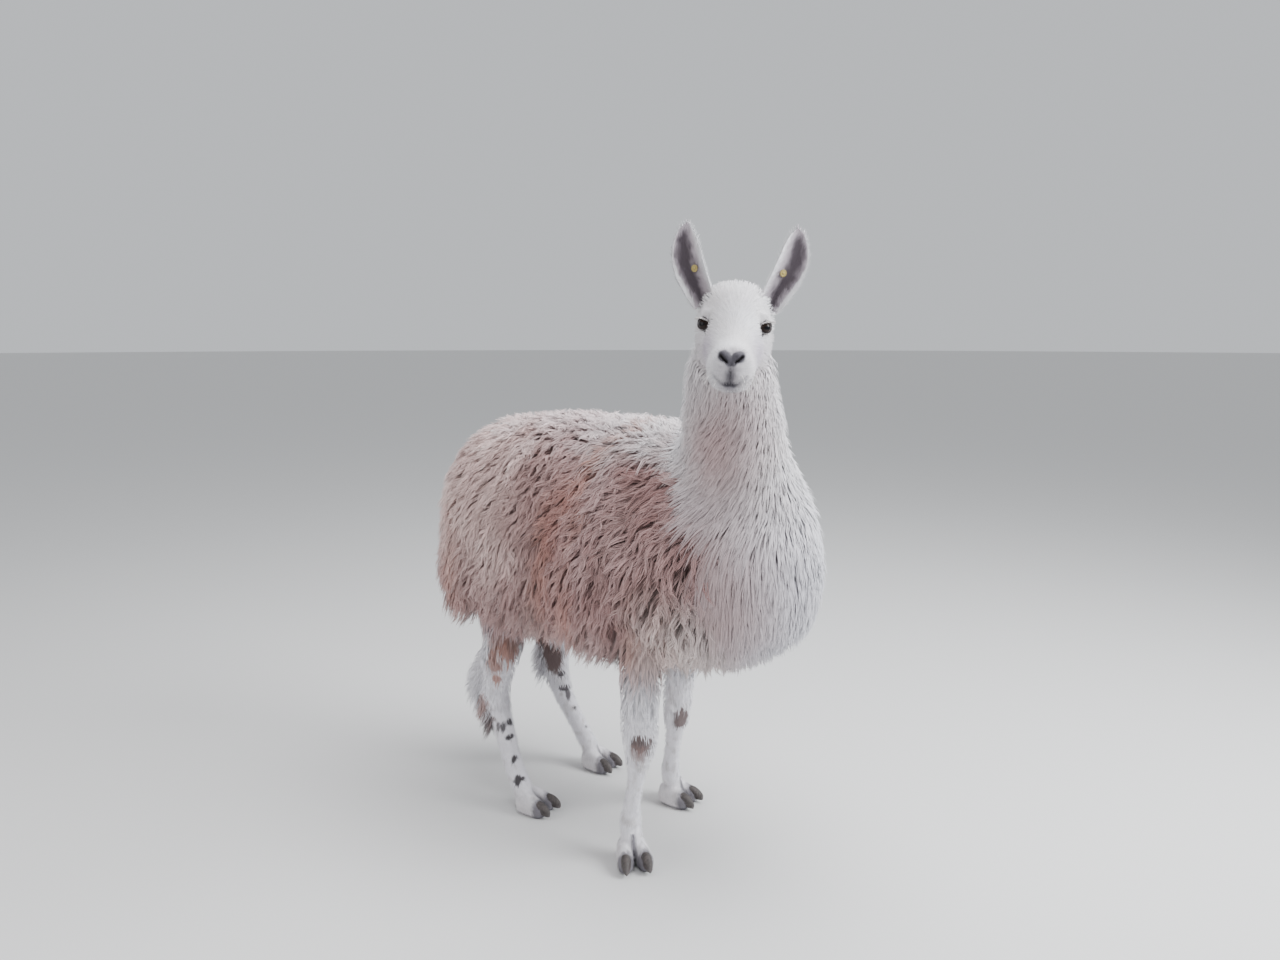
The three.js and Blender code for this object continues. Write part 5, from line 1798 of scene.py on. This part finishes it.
def build_lashes(bristles):
    """Upper and lower lashes along each lid, and a few whiskers on the lips and chin."""
    rng = np.random.default_rng(91)
    rows = []  # root, aim, droop and length of each
    for sign in (-1, 1):
        centre, gaze, ahead = LID_SIDES[sign]
        for high, count, length, rise, droop in LIDS:
            for a in np.linspace(-17.5, 18.0, count):
                a += rng.normal() * 0.35
                edge = 1 - min(abs(a / LID_LENGTH), 1) ** LID_SHAPE
                way = lid_way(sign, a, high * edge ** (1 / LID_SHAPE) * 1.04)
                aim = gaze * 0.8 + way * 0.35 + UP * rise + ahead * (0.02 * a)
                aim = unit(aim + rng.normal(size=3) * 0.05)
                middle = 1 - 0.45 * abs(a / 18.5)
                size = length * middle * (0.85 + 0.3 * rng.random())
                rows.append((centre + way * (EYE_RADIUS + 1.6), aim, droop, size))
    q = in_head(skin_points)
    lips = (q[:, 0] > 120) & (q[:, 2] < -86) & (q[:, 2] > -140) & (np.abs(q[:, 1]) > 22)
    normals = skin_normals @ HEAD_AXES
    for i in rng.choice(np.flatnonzero(lips), 46, replace=False):
        aim = unit(normals[i] + np.array([0.5, 0, -0.35]) + rng.normal(size=3) * 0.2)
        rows.append((q[i], aim, -UP, 9 + 16 * rng.random()))
    roots, aims, droops, sizes = (np.array(column) for column in zip(*rows))
    mesh = bpy.data.meshes.new("lashes")
    mesh.from_pydata(place(apply_matrix(HEAD_PLACE, roots)).tolist(), [], [])
    write_layer(mesh, "aim", "FLOAT_VECTOR", aims @ HEAD_AXES.T)
    write_layer(mesh, "droop", "FLOAT_VECTOR", droops @ HEAD_AXES.T)
    write_layer(mesh, "size", "FLOAT", sizes / 1000)
    obj = new_object("lashes", mesh)
    modifier = obj.modifiers.new("bristles", "NODES")
    modifier.node_group = bristles
    for socket in bristles.interface.items_tree:
        if socket.name in LASH_INPUTS:
            modifier[socket.identifier] = LASH_INPUTS[socket.name]
    keep(settle(obj), "face")


FLESH = ["trunk", "chest", "neck", "head", "ear_left", "ear_right", "tail"]
FLESH += ["leg_" + name for name in LEGS]
keep(put_finish(skin, skin_finish()), "face", *FLESH)

# name, grain, depth of the grain in metres, darkest, lightest, sheen
wool_finish = hair_finish("matted_fleece", 260, 0.0012, 0.82, 1.12, 0.35)
silk_finish = hair_finish("soft_bib_hair", 380, 0.0006, 0.93, 1.05, 0.3)
fur_finish = hair_finish("short_hair", 520, 0.0004, 0.9, 1.06, 0.2)
COATS = [
    ("fleece_coat", grow_fleece, wool_finish, "fleece"),
    ("bib_coat", grow_bib, silk_finish, "bib"),
    ("face_coat", grow_head, fur_finish, "face"),
    ("ear_coat", grow_ears, fur_finish, "ear"),
    ("leg_coat", grow_legs, fur_finish, "leg"),
]
for name, grow, finish, slot in COATS:
    for piece in grow().pieces(name):
        keep(put_finish(piece, finish), slot)

eye_shine, horn, plastic = eye_finish(), horn_finish(), tag_finish()
for sign, side in SIDES:
    build_eye(sign, side, eye_shine)
    build_tag(sign, side, plastic)
    for name in LEGS:
        build_nail(name, sign, side, horn)
build_lashes(bristle_tree(lash_finish()))


# ------------------------------------------------------------------ floor, light and camera
def build_floor(radius=90.0, sides=96):
    """A wide round floor, so that it ends level and far off from every side."""
    angles = np.arange(sides) / sides * 2 * np.pi
    rim = [(radius * math.cos(a), radius * math.sin(a), 0.0) for a in angles]
    mesh = bpy.data.meshes.new("floor")
    mesh.from_pydata(rim, [], [tuple(range(sides))])
    material, _, _ = shader(
        "pale_floor", Base_Color=(0.70, 0.695, 0.69, 1), Roughness=0.9, Specular_IOR_Level=0.1)
    put_finish(new_object("floor", mesh), material)


def add_light(name, spot, aim, size, watts, colour):
    lamp = bpy.data.lights.new(name, "AREA")
    lamp.shape, lamp.size, lamp.energy, lamp.color = "DISK", size, watts, colour
    obj = new_object(name, lamp)
    obj.location = spot
    obj.rotation_euler = (Vector(aim) - Vector(spot)).to_track_quat("-Z", "Y").to_euler()


def light_studio():
    """An even pale surround, with a panel overhead and one at each side."""
    world = bpy.context.scene.world or bpy.data.worlds.new("studio")
    bpy.context.scene.world = world
    world.use_nodes = True
    background = world.node_tree.nodes["Background"]
    background.inputs["Color"].default_value = (0.93, 0.96, 1.0, 1)
    background.inputs["Strength"].default_value = 0.72
    # name, place, aim, size, watts, colour
    add_light("sky_panel", (0.6, 0.2, 4.4), (0, 0, 0.8), 3.4, 200, (0.97, 0.98, 1.0))
    add_light("right_panel", (3.3, 1.5, 2.9), (0.1, 0, 1.0), 2.4, 250, (0.95, 0.98, 1.0))
    add_light("left_panel", (-1.0, -3.9, 1.8), (0, 0, 0.8), 2.6, 40, (1.0, 0.96, 0.93))


def set_camera():
    lens = bpy.data.cameras.new("view")
    lens.sensor_width, lens.lens = 36, CAMERA_LENS
    camera = new_object("view", lens)
    camera.location = place(CAMERA_SPOT)
    camera.rotation_euler = Euler((math.radians(90 - CAMERA_DIP), 0, math.radians(CAMERA_TURN)))
    bpy.context.scene.camera = camera


build_floor()
light_studio()
set_camera()
